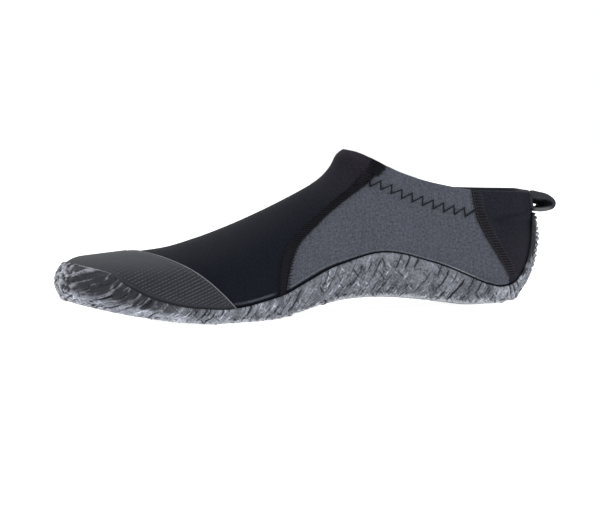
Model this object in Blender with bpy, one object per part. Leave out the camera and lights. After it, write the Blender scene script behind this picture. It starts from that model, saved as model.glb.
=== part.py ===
"""Low-cut neoprene wetsuit bootie for the right foot, standing empty on its sole.

Sizes are in millimetres and the meshes are made in metres.
The toe points along -X, the medial (big toe) side faces -Y and +Z is up.
The tables are measured from the back of the heel: x is 0 there and falls towards the toe.

Every piece is worked out from one function of the last, surface(around, climb):
    around  0 at the toe tip, 1 at the back of the heel, 2 at the toe tip again,
            medial side first and lateral side second
    climb   0 at the feather line by the sole, 1 at the top, which is the ridge of
            the vamp in front and the rim of the collar behind
"""

from collections import namedtuple
from functools import lru_cache

import bmesh
import bpy
import numpy as np

MM = 0.001

# Gap between pieces that meet.
GAP = 0.3

# Plan of the last at the feather line. Medial and lateral are y before the toe and heel are
# rounded off, a flare is how far the belly of the section stands out past the feather line, and
# shoulder is how full the section is above its belly.
Station = namedtuple("Station", "x medial lateral medial_flare lateral_flare shoulder")
PLAN = (
    Station(-277, -37.0, 14.0, 2.4, 2.4, 1.00),
    Station(-255, -40.0, 26.0, 2.6, 2.5, 0.82),
    Station(-238, -42.0, 34.5, 3.0, 3.0, 0.70),
    Station(-220, -43.8, 40.0, 3.2, 3.0, 0.64),
    Station(-197, -44.5, 44.2, 3.4, 3.0, 0.62),
    Station(-170, -40.5, 46.0, 5.0, 3.0, 0.62),
    Station(-140, -32.0, 42.5, 8.0, 3.5, 0.62),
    Station(-105, -25.5, 37.0, 10.5, 4.0, 0.62),
    Station(-70, -25.0, 31.5, 8.0, 4.5, 0.62),
    Station(-40, -26.5, 28.0, 5.5, 5.0, 0.62),
    Station(-18, -26.5, 27.5, 13.6, 13.6, 0.62),
)
TOE_TIP_X, TOE_TIP_Y = -277.0, -9.0
TOE_BASE_X = -220.0
TOE_ROUNDNESS = 2.3
HEEL_BASE_X = -40.0
HEEL_BACK_X = -18.0
HEEL_ROUNDNESS = 2.2

# Ridge of the foot inside in the side view, which the collar is cut from, and the ridge's y.
Ridge = namedtuple("Ridge", "x z y")
RIDGE_LINE = (
    Ridge(-277, 38.8, -9.0),
    Ridge(-264, 39.8, -9.5),
    Ridge(-240, 41.4, -11.0),
    Ridge(-222, 42.8, -12.0),
    Ridge(-204, 46.8, -12.0),
    Ridge(-185, 52.6, -11.5),
    Ridge(-166, 59.6, -10.5),
    Ridge(-147, 67.6, -9.0),
    Ridge(-133, 74.2, -8.0),
    Ridge(-123, 79.6, -7.2),
    Ridge(-114.5, 85.0, -6.5),
    Ridge(-109, 90.0, -6.0),
    Ridge(-100, 97.0, -5.0),
    Ridge(-87, 104.0, -3.0),
    Ridge(-68, 109.0, -1.0),
    Ridge(-45, 111.0, 0.0),
    Ridge(-4, 111.0, 0.0),
)
TOE_RIDGE_X, TOE_FAN = -266.5, 1.1

# Height of the collar's rim. In front it stands up from the foot, over the spread given.
Rim = namedtuple("Rim", "x z")
RIM_LINE = (
    Rim(-114.5, 92.3),
    Rim(-109, 90.0),
    Rim(-100, 84.6),
    Rim(-87, 76.9),
    Rim(-68, 70.0),
    Rim(-45, 65.5),
    Rim(-4, 62.5),
)
STAND_UP_SPREAD, STAND_UP_REACH, STAND_UP_CLIMB = 9.5, 4.0, (0.35, 0.8)

# Collar opening, an oval in plan.
RIM_FRONT_X = -114.5
RIM_WIDEST_X = -62.0
RIM_BACK_X = -4.0
RIM_HALF_WIDTH = 30.0
RIM_ROUNDNESS = 2.25
RIM_BLEND_X = -72.0

# Section shape: where the belly is, how far the wall leans out below the rim, and how it climbs.
BELLY_CLIMB = 0.4
RIM_SHOULDER = 1.5
VAMP_RISE = (0.42, 1.0)
RIM_RISE = (0.36, 0.70)

# Neoprene wall, and the hem turned in along the rim.
WALL = 3.0
HEM_EXTRA, HEM_WIDTH, HEM_STEP = 2.0, 13.0, 3.0

# Underside of the sole: toe spring, arch and the flats it stands on.
SOLE_FLOOR = 4.5
SPRING_START_X, SPRING_END_X, SPRING_RISE, SPRING_POWER = -196.0, -282.0, 17.0, 1.5
ARCH_PEAK_X, ARCH_FRONT, ARCH_BACK, ARCH_POWER = -112.0, 54.0, 64.0, 1.5
ARCH_MEDIAL, ARCH_MEDIAL_Y, ARCH_LATERAL, ARCH_LATERAL_Y = 8.5, -28.0, 4.8, 36.0

# Top edge of the sole's wall along each side.
Lip = namedtuple("Lip", "x medial lateral")
LIP_LINE = (
    Lip(-277, 38.6, 38.6),
    Lip(-268, 36.0, 36.0),
    Lip(-255, 32.3, 31.0),
    Lip(-246, 25.2, 23.5),
    Lip(-232, 17.3, 16.0),
    Lip(-212, 10.7, 11.0),
    Lip(-190, 8.6, 9.5),
    Lip(-165, 13.0, 10.5),
    Lip(-148, 20.6, 13.0),
    Lip(-130, 28.0, 16.5),
    Lip(-102, 33.3, 19.0),
    Lip(-70, 25.2, 17.0),
    Lip(-40, 11.6, 11.6),
)

# Rubber strip up the back of the heel: its edge by angle from the back's middle.
StripEdge = namedtuple("StripEdge", "angle z")
HEEL_STRIP = (
    StripEdge(0, 49.5),
    StripEdge(26, 49.0),
    StripEdge(33, 43.0),
    StripEdge(38, 33.0),
    StripEdge(42, 19.0),
    StripEdge(47, 12.8),
    StripEdge(58, 10.2),
    StripEdge(72, 9.5),
    StripEdge(90, 11.6),
)

# Thickness of the sole's wall at the feather line and at its lip, and its rounded bottom edge.
SOLE_WALL_LOW, SOLE_WALL_LIP = 2.9, 1.7
EDGE_INSET = 9.0
EDGE_CORNER_SIDE, EDGE_CORNER_HEEL, EDGE_CORNER_TOE = 2.0, -4.5, -3.0
RIB_COUNT_SIDE = 40
RIB_DEPTH = 1.1
RIB_SHOULDERS = (0.26, 0.74)
RIB_LEAN = 0.55
GROOVE_IN, GROOVE_UP = 0.6, 0.8

# Rows of the sole's outside: share of the way across the underside, round the bottom edge and
# up the wall, and the share of a groove's depth at each row of the last two.
BOTTOM_ROWS = np.array([0.0, 0.5])
EDGE_ROWS, EDGE_GROOVE = np.array([0.0, 0.35, 0.65]), np.array([0.0, 0.5, 0.9])
WALL_ROWS = np.array([0.0, 0.3, 0.62, 0.88, 1.0])
WALL_GROOVE = np.array([1.0, 1.0, 1.0, 0.8, 0.0])
FLOOR_ROWS = np.array([0.7, 0.0])

# Toe cap: a rubber sheet over the toe, from the sole's lip to an edge that slants back.
CAP_THICKNESS = 1.0
CAP_GAP, CAP_ABOVE_LIP = 0.5, 0.9
CAP_RIDGE_X, CAP_SIDE_X = -240.0, -184.5

# Stitched seam bands: the course of both seams of a side, from the sole to the rim.
Course = namedtuple("Course", "share front_x front_z heel_x heel_z")
SEAM_COURSE = (
    Course(0.00, -159.0, 13.0, -26.0, 16.0),
    Course(0.20, -157.2, 23.0, -28.2, 19.5),
    Course(0.40, -151.6, 38.1, -31.5, 24.3),
    Course(0.60, -136.0, 53.0, -36.0, 32.6),
    Course(0.75, -119.0, 65.0, -41.0, 42.0),
    Course(0.88, -106.0, 73.3, -44.5, 51.4),
    Course(1.00, -95.8, 81.8, -46.3, 65.0),
)
Seam = namedtuple("Seam", "name course lateral width")
SEAMS = (
    Seam("seam_front_medial", "front", False, -8.0),
    Seam("seam_front_lateral", "front", True, -8.0),
    Seam("seam_heel_medial", "heel", False, 7.0),
    Seam("seam_heel_lateral", "heel", True, 7.0),
)
SEAM_THICKNESS = 0.5
SEAM_GAP = 0.45
SEAM_NARROW = 0.6

# Insole: its thickness, its clearance inside the wall, and its rows across.
INSOLE_THICKNESS, INSOLE_CLEARANCE = 3.0, 0.7
INSOLE_ROWS = np.array([0.0, 0.55, 1.0])

# Pull loop of woven tape at the back of the collar: its middle line in the side view.
LoopPoint = namedtuple("LoopPoint", "x z follows_heel")
PULL_LOOP = (
    LoopPoint(1.5, 61.6, 1.0),
    LoopPoint(5.2, 61.2, 0.5),
    LoopPoint(9.6, 58.9, 0.2),
    LoopPoint(11.6, 55.6, 0.0),
    LoopPoint(10.2, 52.6, 0.0),
    LoopPoint(6.4, 51.2, 0.2),
    LoopPoint(2.6, 51.4, 0.6),
    LoopPoint(1.5, 53.2, 1.0),
    LoopPoint(1.5, 57.4, 1.0),
)
LOOP_WIDTH, LOOP_THICKNESS = 22.0, 1.5

# Where the parts of a side change along around: toe, vamp, collar front, waist and heel.
TOE_END, VAMP_END, COLLAR_END, WAIST_END = 0.28, 0.52, 0.70, 0.77
NUDGE = 1e-4
NORMAL_LIMIT = 0.98
CROWN_ALONG, CROWN_CLIMB = (0.04, 0.2), (0.78, 0.94)

# How finely each solid is faceted. The upper and the sole's inside share sections, and the rows
# below the lip as well, so that their faces lie at one distance.
STEPS = {"toe": 11, "vamp": 14, "collar": 10, "waist": 2, "heel": 7}
VAMP_CROWDING = 0.2
ROWS_BELOW_LIP = np.array([0.0, 0.3, 0.64, 1.0])
ROWS_ABOVE_LIP = np.array([0.2, 0.4, 0.58, 0.74, 0.86, 0.94, 1.0])
CAP_STEPS, CAP_ROWS = (9, 13), 7
SEAM_ROWS, SEAM_COLUMNS, SEAM_CROWDING = 18, 3, 0.4
LOOP_STEPS, LOOP_COLUMNS = 28, 3

COLOURS = {
    "outsole": ((0.20, 0.21, 0.23), 0.8),
    "upper": ((0.022, 0.025, 0.032), 0.75),
    "toe_cap": ((0.06, 0.065, 0.075), 0.6),
    "insole": ((0.03, 0.03, 0.035), 0.9),
    "pull_loop": ((0.03, 0.032, 0.036), 0.8),
    "seam": ((0.016, 0.015, 0.018), 0.85),
}


def smooth_table(rows, column, x):
    """Monotone cubic curve through one named column of a table, whose first column is its argument."""
    xs = np.array([row[0] for row in rows], float)
    ys = np.array([getattr(row, column) for row in rows], float)
    steps = np.diff(xs)
    slopes = np.diff(ys) / steps
    inner = np.where(
        slopes[:-1] * slopes[1:] > 0,
        2 * slopes[:-1] * slopes[1:] / np.where(slopes[:-1] + slopes[1:] == 0, 1, slopes[:-1] + slopes[1:]),
        0.0,
    )
    tangents = np.concatenate([slopes[:1], inner, slopes[-1:]])
    x = np.clip(x, xs[0], xs[-1])
    i = np.clip(np.searchsorted(xs, x, "right") - 1, 0, len(steps) - 1)
    u = (x - xs[i]) / steps[i]
    return (
        ys[i] * (1 + 2 * u) * (1 - u) ** 2
        + ys[i + 1] * u**2 * (3 - 2 * u)
        + tangents[i] * steps[i] * u * (1 - u) ** 2
        + tangents[i + 1] * steps[i] * u**2 * (u - 1)
    )


def ease(value, low, high):
    """0 below low, 1 above high and smooth between."""
    u = np.clip((value - low) / (high - low), 0, 1)
    return u * u * (3 - 2 * u)


def round_end(share, roundness):
    """Width left at a share of the way to a rounded end, 1 at its base and 0 at the end."""
    return (1 - np.clip(share, 0, 1) ** roundness) ** (1 / roundness)


def along_side(around):
    """(along, lateral): the share of the way from toe tip to heel back, and whether it is lateral."""
    around = np.mod(around, 2.0)
    lateral = around > 1
    return np.where(lateral, 2 - around, around), lateral


def feather_x(along):
    """x of the feather line, eased round the toe and the heel."""
    toe = np.cos(np.clip(along / TOE_END, 0, 1) * np.pi / 2) ** (2 / TOE_ROUNDNESS)
    heel = np.sin(np.clip((along - WAIST_END) / (1 - WAIST_END), 0, 1) * np.pi / 2) ** (2 / HEEL_ROUNDNESS)
    turn = np.cos(np.clip((along - VAMP_END) / (COLLAR_END - VAMP_END), 0, 1) * np.pi / 2)
    vamp = TOE_BASE_X + (RIM_FRONT_X - TOE_BASE_X) * (along - TOE_END) / (VAMP_END - TOE_END)
    collar = RIM_WIDEST_X + (RIM_FRONT_X - RIM_WIDEST_X) * turn ** (2 / RIM_ROUNDNESS)
    waist = RIM_WIDEST_X + (HEEL_BASE_X - RIM_WIDEST_X) * (along - COLLAR_END) / (WAIST_END - COLLAR_END)
    return np.select(
        [along < TOE_END, along < VAMP_END, along < COLLAR_END, along < WAIST_END],
        [TOE_BASE_X + (TOE_TIP_X - TOE_BASE_X) * toe, vamp, collar, waist],
        HEEL_BASE_X + (HEEL_BACK_X - HEEL_BASE_X) * heel,
    )


def top_x(along):
    """x of the top line: over the feather line, but drawn in over the toe and out over the heel."""
    x = feather_x(along)
    toe = TOE_RIDGE_X + (TOE_BASE_X - TOE_RIDGE_X) * np.clip(along / TOE_END, 0, 1) ** TOE_FAN
    heel = HEEL_BASE_X + (x - HEEL_BASE_X) * (RIM_BACK_X - HEEL_BASE_X) / (HEEL_BACK_X - HEEL_BASE_X)
    return np.select([along < TOE_END, along < WAIST_END], [toe, x], heel)


def feather(around):
    """Plan point of the feather line."""
    along, lateral = along_side(around)
    x = feather_x(along)
    y = np.where(lateral, smooth_table(PLAN, "lateral", x), smooth_table(PLAN, "medial", x))
    toe = round_end((TOE_BASE_X - x) / (TOE_BASE_X - TOE_TIP_X), TOE_ROUNDNESS)
    heel = round_end((x - HEEL_BASE_X) / (HEEL_BACK_X - HEEL_BASE_X), HEEL_ROUNDNESS)
    return np.stack([x, np.where(x < TOE_BASE_X, TOE_TIP_Y + (y - TOE_TIP_Y) * toe, y * heel)], -1)


def rim_opening(x):
    """Half the collar's width at x, 0 in front of the opening."""
    front = round_end((RIM_WIDEST_X - x) / (RIM_WIDEST_X - RIM_FRONT_X), RIM_ROUNDNESS)
    back = round_end((x - RIM_WIDEST_X) / (RIM_BACK_X - RIM_WIDEST_X), RIM_ROUNDNESS)
    return RIM_HALF_WIDTH * np.where(x < RIM_FRONT_X, 0.0, np.where(x < RIM_WIDEST_X, front, back))


def outward(around):
    """Unit vector in plan that points out of the feather line."""
    way = feather(around + NUDGE) - feather(around - NUDGE)
    normal = np.stack([way[..., 1], -way[..., 0]], -1)
    return normal / np.linalg.norm(normal, axis=-1, keepdims=True)


def underside(x, y):
    """Height of the sole's underside, before its edge is rounded."""
    ahead = np.clip((SPRING_START_X - x) / (SPRING_START_X - SPRING_END_X), 0, 2)
    spring = SPRING_RISE * ahead**SPRING_POWER
    reach = np.where(x < ARCH_PEAK_X, ARCH_FRONT, ARCH_BACK)
    arch = np.clip(1 - ((x - ARCH_PEAK_X) / reach) ** 2, 0, 1) ** ARCH_POWER
    across = np.clip((y - ARCH_MEDIAL_Y) / (ARCH_LATERAL_Y - ARCH_MEDIAL_Y), 0, 1)
    return spring + arch * (ARCH_MEDIAL + (ARCH_LATERAL - ARCH_MEDIAL) * across)


def cubic_weights(climb):
    """Weights of the two middle control points of a cubic curve."""
    return 3 * (1 - climb) ** 2 * climb, 3 * (1 - climb) * climb**2


def section(foot, top, out, flare, shoulder, climb):
    """Plan point of a section that runs from the feather line, past its belly, to a top point."""
    low, high = cubic_weights(climb)
    belly_low, belly_high = cubic_weights(BELLY_CLIMB)
    reach = np.sum((foot - top) * out, -1)
    belly = (flare + (belly_high + BELLY_CLIMB**3) * reach - belly_high * shoulder) / belly_low
    share = ((1 - climb) ** 3 + low)[..., None]
    return top + (foot - top) * share + out * (low * belly + high * shoulder)[..., None]


def rise(shape, climb):
    """Share of a section's height reached at a climb."""
    low, high = cubic_weights(climb)
    return low * shape[0] + high * shape[1] + climb**3


def cut_climb(foot, ridge, out, flare, shoulder, opening):
    """Climb at which the closed section of the foot is cut off by the collar's opening."""
    low, high = np.zeros(opening.shape), np.ones(opening.shape)
    for _ in range(40):
        middle = (low + high) / 2
        outside = np.abs(section(foot, ridge, out, flare, shoulder, middle)[..., 1] - ridge[..., 1]) > opening
        low, high = np.where(outside, middle, low), np.where(outside, high, middle)
    return (low + high) / 2


Frame = namedtuple("Frame", "foot out ridge rim opening flare base")


def section_frame(around):
    """What a section is drawn from: its feather point, ridge, rim and sizes."""
    along, lateral = along_side(around)
    foot = feather(around)
    x = top_x(along)
    ridge = np.stack([x, smooth_table(RIDGE_LINE, "y", x)], -1)
    opening = rim_opening(x)
    rim = ridge + np.stack([np.zeros(x.shape), np.where(lateral, 1, -1) * opening], -1)
    flare = np.where(
        lateral,
        smooth_table(PLAN, "lateral_flare", foot[..., 0]),
        smooth_table(PLAN, "medial_flare", foot[..., 0]),
    )
    base = underside(foot[..., 0], foot[..., 1]) + SOLE_FLOOR + GAP
    return Frame(foot, outward(around), ridge, rim, opening, flare, base)


def body_surface(frame, climb):
    """Plan point and height on the foot inside, up to its ridge or to where the collar cuts it."""
    foot, out, ridge, _, opening, flare, base = frame
    fullness = smooth_table(PLAN, "shoulder", foot[..., 0])
    shoulder = fullness * (np.sum((foot - ridge) * out, -1) + flare)
    cut = cut_climb(foot, ridge, out, flare, shoulder, opening)
    plan = section(foot, ridge, out, flare, shoulder, climb * cut)
    return plan, base + rise(VAMP_RISE, climb * cut) * (smooth_table(RIDGE_LINE, "z", plan[..., 0]) - base)


@lru_cache(maxsize=1)
def stand_up_line():
    """Plan points along the front of the rim, the length of each and the rim's height over the foot."""
    half = np.linspace(VAMP_END, COLLAR_END, 61)
    plan, z = body_surface(section_frame(np.concatenate([half[::-1], 2 - half[1:]])), np.float64(1.0))
    step = np.linalg.norm(np.diff(plan, axis=0), axis=-1)
    length = (np.append(step, 0) + np.append(0, step)) / 2
    return plan, length, smooth_table(RIM_LINE, "z", plan[:, 0]) - z


def stand_up(plan):
    """How far the outer face stands over the foot, most along the front of the rim."""
    line, length, height = stand_up_line()
    away = np.sum((plan[..., None, :] - line) ** 2, -1)
    weight = length * np.exp(-away / STAND_UP_REACH**2)
    total = weight.sum(-1) + 1e-300
    nearness = (total / (STAND_UP_REACH * np.sqrt(np.pi))) ** ((STAND_UP_REACH / STAND_UP_SPREAD) ** 2)
    return (weight * height).sum(-1) / total * nearness


def surface(around, climb):
    """Point of the upper's outer face."""
    around, climb = np.asarray(around, float), np.asarray(climb, float)
    frame = section_frame(around)
    plan, z = body_surface(frame, climb)
    z = z + stand_up(plan) * ease(climb, *STAND_UP_CLIMB)
    rim_plan = section(frame.foot, frame.rim, frame.out, frame.flare, RIM_SHOULDER, climb)
    rim_z = frame.base + rise(RIM_RISE, climb) * (smooth_table(RIM_LINE, "z", rim_plan[..., 0]) - frame.base)
    blend = ease(frame.ridge[..., 0], RIM_FRONT_X, RIM_BLEND_X)
    plan = plan + (rim_plan - plan) * blend[..., None]
    z = z + (rim_z - z) * blend
    return np.concatenate([plan, z[..., None]], -1)


def face_normal(around, climb):
    """Unit normal of the upper's outer face."""
    around, climb = np.broadcast_arrays(np.asarray(around, float), np.asarray(climb, float))
    climb = np.clip(climb, NUDGE, NORMAL_LIMIT)
    along_way = surface(around + NUDGE, climb) - surface(around - NUDGE, climb)
    up_way = surface(around, climb + NUDGE) - surface(around, climb - NUDGE)
    normal = np.cross(along_way, up_way)
    return normal / np.linalg.norm(normal, axis=-1, keepdims=True)


def wall_normal(around, climb):
    """Unit normal along which the wall is measured, straight up over the crown of the toe."""
    along, _ = along_side(around)
    crown = (1 - ease(along, *CROWN_ALONG)) * ease(climb, *CROWN_CLIMB)
    normal = face_normal(around, climb)
    normal = normal + (np.array([0, 0, 1]) - normal) * crown[..., None]
    return normal / np.linalg.norm(normal, axis=-1, keepdims=True)


def offset_surface(around, climb, distance):
    """Point at a distance out from the upper's outer face."""
    around, climb, distance = np.broadcast_arrays(around, climb, distance)
    return surface(around, climb) + face_normal(around, climb) * np.asarray(distance)[..., None]


def climb_at_height(around, z):
    """Climb at which the upper's face reaches a height."""
    low = np.zeros(np.shape(around))
    high = np.ones(np.shape(around))
    for _ in range(40):
        middle = (low + high) / 2
        below = surface(around, middle)[..., 2] < z
        low, high = np.where(below, middle, low), np.where(below, high, middle)
    return (low + high) / 2


def climb_at_x(around, edge):
    """Climb at which an edge, x as a function of climb, crosses a section, or 1 where it doesn't."""
    steps = np.linspace(0, 1, 201)
    ahead = surface(np.asarray(around)[..., None], steps)[..., 0] - edge(steps) > 0
    return np.where(ahead.any(-1), steps[np.argmax(ahead, -1)], 1.0)


def lip_height(around):
    """Height of the sole's top edge."""
    along, lateral = along_side(around)
    x = feather_x(along)
    side = np.where(lateral, smooth_table(LIP_LINE, "lateral", x), smooth_table(LIP_LINE, "medial", x))
    angle = 90 * (1 - np.clip((along - WAIST_END) / (1 - WAIST_END), 0, 1))
    return np.where(along < WAIST_END, side, smooth_table(HEEL_STRIP, "z", angle))


def rim_line():
    """Points close together along the rim of the collar."""
    half = np.linspace(VAMP_END, 1, 160)
    return surface(np.concatenate([half, 2 - half[::-1]]), 1.0)


def wall_thickness(points):
    """Thickness of the neoprene at points of the outer face, more in the hem along the rim."""
    rim = rim_line()
    away = np.linalg.norm(points[..., None, :] - rim, axis=-1).min(-1)
    return WALL + HEM_EXTRA * (1 - ease(away, HEM_WIDTH - HEM_STEP, HEM_WIDTH))


def stations():
    """along values of the upper's sections, with one at each change of part, closer by the collar."""
    ends = (0, TOE_END, VAMP_END, COLLAR_END, WAIST_END, 1)
    parts = []
    for low, high, (name, steps) in zip(ends[:-1], ends[1:], STEPS.items()):
        share = np.arange(steps) / steps
        if name == "vamp":
            share = share * (1 + VAMP_CROWDING) - VAMP_CROWDING * share**2
        parts.append(low + (high - low) * share)
    return np.concatenate([*parts, [1.0]])


def ring(along):
    """around values for a closed ring that has the same sections on both sides."""
    return np.concatenate([along, 2 - along[-2:0:-1]])


def rib_stations():
    """along values that space the sole's ribs evenly, on the mean of both sides."""
    fine = np.linspace(0, 1, 1201)
    mean_step = sum(
        np.linalg.norm(np.diff(feather(around), axis=0), axis=-1) for around in (fine, 2 - fine)
    )
    travelled = np.concatenate([[0], np.cumsum(mean_step)])
    return np.interp(np.linspace(0, travelled[-1], RIB_COUNT_SIDE + 1), travelled, fine)


def ring_faces(columns, rows):
    """Quads of a grid whose columns close round and whose corners are numbered column by column."""
    return [
        (c * rows + r, (c + 1) % columns * rows + r, (c + 1) % columns * rows + r + 1, c * rows + r + 1)
        for c in range(columns)
        for r in range(rows - 1)
    ]


def strip_faces(columns, rows):
    """Quads of a grid that is open on all sides."""
    return ring_faces(columns, rows)[: (columns - 1) * (rows - 1)]


def weld(points, faces):
    """One number for each place, with faces that lose a side made triangles and flat ones dropped."""
    _, first, index = np.unique(np.round(points, 3), axis=0, return_index=True, return_inverse=True)
    index = index.reshape(-1)
    welded = []
    for face in faces:
        corners = list(dict.fromkeys(index[list(face)]))
        if len(corners) > 2:
            welded.append(corners)
    return first, welded


def make_object(name, points, faces, material):
    """A mesh object in metres from corners in millimetres, with its faces pointing out."""
    mesh = bpy.data.meshes.new(name)
    shape = bmesh.new()
    corners = [shape.verts.new(point * MM) for point in points]
    for face in faces:
        shape.faces.new([corners[i] for i in face])
    bmesh.ops.recalc_face_normals(shape, faces=shape.faces)
    bmesh.ops.triangulate(shape, faces=[face for face in shape.faces if len(face.verts) > 3])
    shape.to_mesh(mesh)
    shape.free()
    mesh.shade_smooth()
    mesh.set_sharp_from_angle(angle=np.radians(35))
    mesh.materials.append(material)
    made = bpy.data.objects.new(name, mesh)
    bpy.context.scene.collection.objects.link(made)
    return made


def solid_between(name, outer, inner, faces, material):
    """A closed solid between two faces with the same grid, walled in along the grid's free edges."""
    outer, inner = outer.reshape(-1, 3), inner.reshape(-1, 3)
    first, sheet = weld(outer, faces)
    count = len(first)
    used = {}
    for face in sheet:
        for edge in zip(face, face[1:] + face[:1]):
            used[frozenset(edge)] = None if frozenset(edge) in used else edge
    walls = [(a, b, b + count, a + count) for a, b in filter(None, used.values())]
    back = [[corner + count for corner in reversed(face)] for face in sheet]
    points = np.concatenate([outer[first], inner[first]])
    return make_object(name, points, [*sheet, *back, *walls], material)


def make_material(name):
    """A plain finish with the piece's colour and roughness."""
    colour, roughness = COLOURS[name]
    material = bpy.data.materials.new(name)
    material.use_nodes = True
    shader = material.node_tree.nodes["Principled BSDF"]
    shader.inputs["Base Color"].default_value = (*colour, 1.0)
    shader.inputs["Roughness"].default_value = roughness
    shader.inputs["Metallic"].default_value = 0.0
    return material


def make_upper():
    """Neoprene sock, open at the collar and underneath, with its hem turned in along the rim."""
    around = ring(stations())[:, None]
    lip = climb_at_height(around, lip_height(around))
    climb = np.concatenate([lip * ROWS_BELOW_LIP, lip + (1 - lip) * ROWS_ABOVE_LIP], 1)
    outer = surface(around, climb)
    inner = outer - wall_normal(around, climb) * wall_thickness(outer)[..., None]
    return solid_between("upper", outer, inner, ring_faces(*outer.shape[:2]), make_material("upper"))


def floor_grid(outline, shares, lift):
    """Points over the sole's underside, from the middle of an outline (share 0) to its edge (share 1)."""
    across = outline[-np.arange(len(outline)) % len(outline)]
    spine = ((outline + across) / 2)[:, None, :2]
    plan = spine + (outline[:, None, :2] - spine) * shares[None, :, None]
    z = underside(plan[..., 0], plan[..., 1]) + lift
    return np.concatenate([plan, z[..., None]], -1)


def edge_profile(around, shares):
    """Points round the sole's bottom edge, from the flat underside (share 0) to the wall (share 1)."""
    foot = feather(around)
    out = outward(around)
    along, _ = along_side(around)
    behind, ahead = ease(along, WAIST_END, 1), 1 - ease(along, 0, TOE_END)
    corner = EDGE_CORNER_SIDE + (EDGE_CORNER_HEEL - EDGE_CORNER_SIDE) * behind
    corner = corner + (EDGE_CORNER_TOE - EDGE_CORNER_SIDE) * ahead
    inset = foot - out * EDGE_INSET
    low = underside(foot[:, 0], foot[:, 1])
    start = np.concatenate([inset, underside(inset[:, 0], inset[:, 1])[:, None]], -1)
    turn = np.concatenate([foot + out * corner[:, None], low[:, None]], -1)
    end = offset_surface(around, 0.0, GAP + SOLE_WALL_LOW)
    u = shares[None, :, None]
    return start[:, None] * (1 - u) ** 2 + turn[:, None] * 2 * u * (1 - u) + end[:, None] * u**2


def sole_wall(around, shares, lean):
    """Points up the sole's outer wall from the feather line to the lip, leaning back as they climb."""
    around = around[:, None] + lean[:, None] * shares[None, :]
    climb = climb_at_height(around, lip_height(around)) * shares[None, :]
    thick = SOLE_WALL_LOW + (SOLE_WALL_LIP - SOLE_WALL_LOW) * shares[None, :]
    return around, climb, GAP + thick


def make_outsole():
    """Moulded rubber cup with its toe bumper, heel strip, arch, and ribs that lean along its side."""
    coarse = ring(rib_stations())
    pitch = np.diff(np.append(coarse, 2.0))
    parts = np.array([0.0, *RIB_SHOULDERS])
    fine = (coarse[:, None] + pitch[:, None] * parts).reshape(-1)
    depth = np.tile([RIB_DEPTH, 0.0, 0.0], len(coarse))[:, None]
    lean = RIB_LEAN * np.repeat(pitch, len(parts)) * np.clip(3 * np.sin(np.pi * fine), -1, 1)

    flat = feather(coarse) - outward(coarse) * EDGE_INSET
    bottom = floor_grid(flat, BOTTOM_ROWS, 0.0)
    groove = np.concatenate([-GROOVE_IN * outward(fine), np.full((len(fine), 1), GROOVE_UP)], -1)
    edge = edge_profile(fine, EDGE_ROWS) + groove[:, None, :] * (depth * EDGE_GROOVE)[..., None]
    around, climb, thick = sole_wall(fine, WALL_ROWS, lean)
    wall = offset_surface(around, climb, thick - depth * WALL_GROOVE)
    outside = np.concatenate([edge, wall], 1)

    sections = ring(stations())
    lip = climb_at_height(sections, lip_height(sections))
    inner_wall = offset_surface(sections[:, None], lip[:, None] * ROWS_BELOW_LIP[::-1], GAP)
    corner = inner_wall[:, -1:].copy()
    corner[..., 2] = underside(corner[..., 0], corner[..., 1]) + SOLE_FLOOR
    floor = floor_grid(feather(sections), FLOOR_ROWS, SOLE_FLOOR)
    inside = np.concatenate([inner_wall[:, :-1], corner, floor], 1)

    points, faces, starts = [], [], []
    for grid in (bottom, outside, inside):
        starts.append(sum(len(part) for part in points))
        faces += [tuple(i + starts[-1] for i in face) for face in ring_faces(*grid.shape[:2])]
        points.append(grid.reshape(-1, 3))
    edge_row = starts[1] + np.arange(len(fine)) * outside.shape[1]
    inner_lip = starts[2] + np.arange(len(sections)) * inside.shape[1]
    bottom_edge = np.arange(len(coarse)) * len(BOTTOM_ROWS) + len(BOTTOM_ROWS) - 1
    faces += zip_rings(bottom_edge, coarse, edge_row, fine)
    faces += zip_rings(inner_lip, sections, edge_row + outside.shape[1] - 1, around[:, -1])
    points = np.concatenate(points)
    first, welded = weld(points, faces)
    return make_object("outsole", points[first], welded, make_material("outsole"))


def zip_rings(one, one_around, two, two_around):
    """Triangles between two closed rings of corners, stepping along whichever ring lags behind."""
    faces = []
    i = j = 0
    one_keys = np.append(one_around, one_around[0] + 2)
    two_keys = np.append(two_around, two_around[0] + 2)
    while i < len(one) or j < len(two):
        here = (int(one[i % len(one)]), int(two[j % len(two)]))
        if j == len(two) or (i < len(one) and one_keys[i + 1] <= two_keys[j + 1]):
            i += 1
            faces.append((*here, int(one[i % len(one)])))
        else:
            j += 1
            faces.append((*here, int(two[j % len(two)])))
    return faces


def cap_edge(climb):
    """x of the toe cap's rear edge at a climb."""
    return CAP_SIDE_X + (CAP_RIDGE_X - CAP_SIDE_X) * climb


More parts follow.
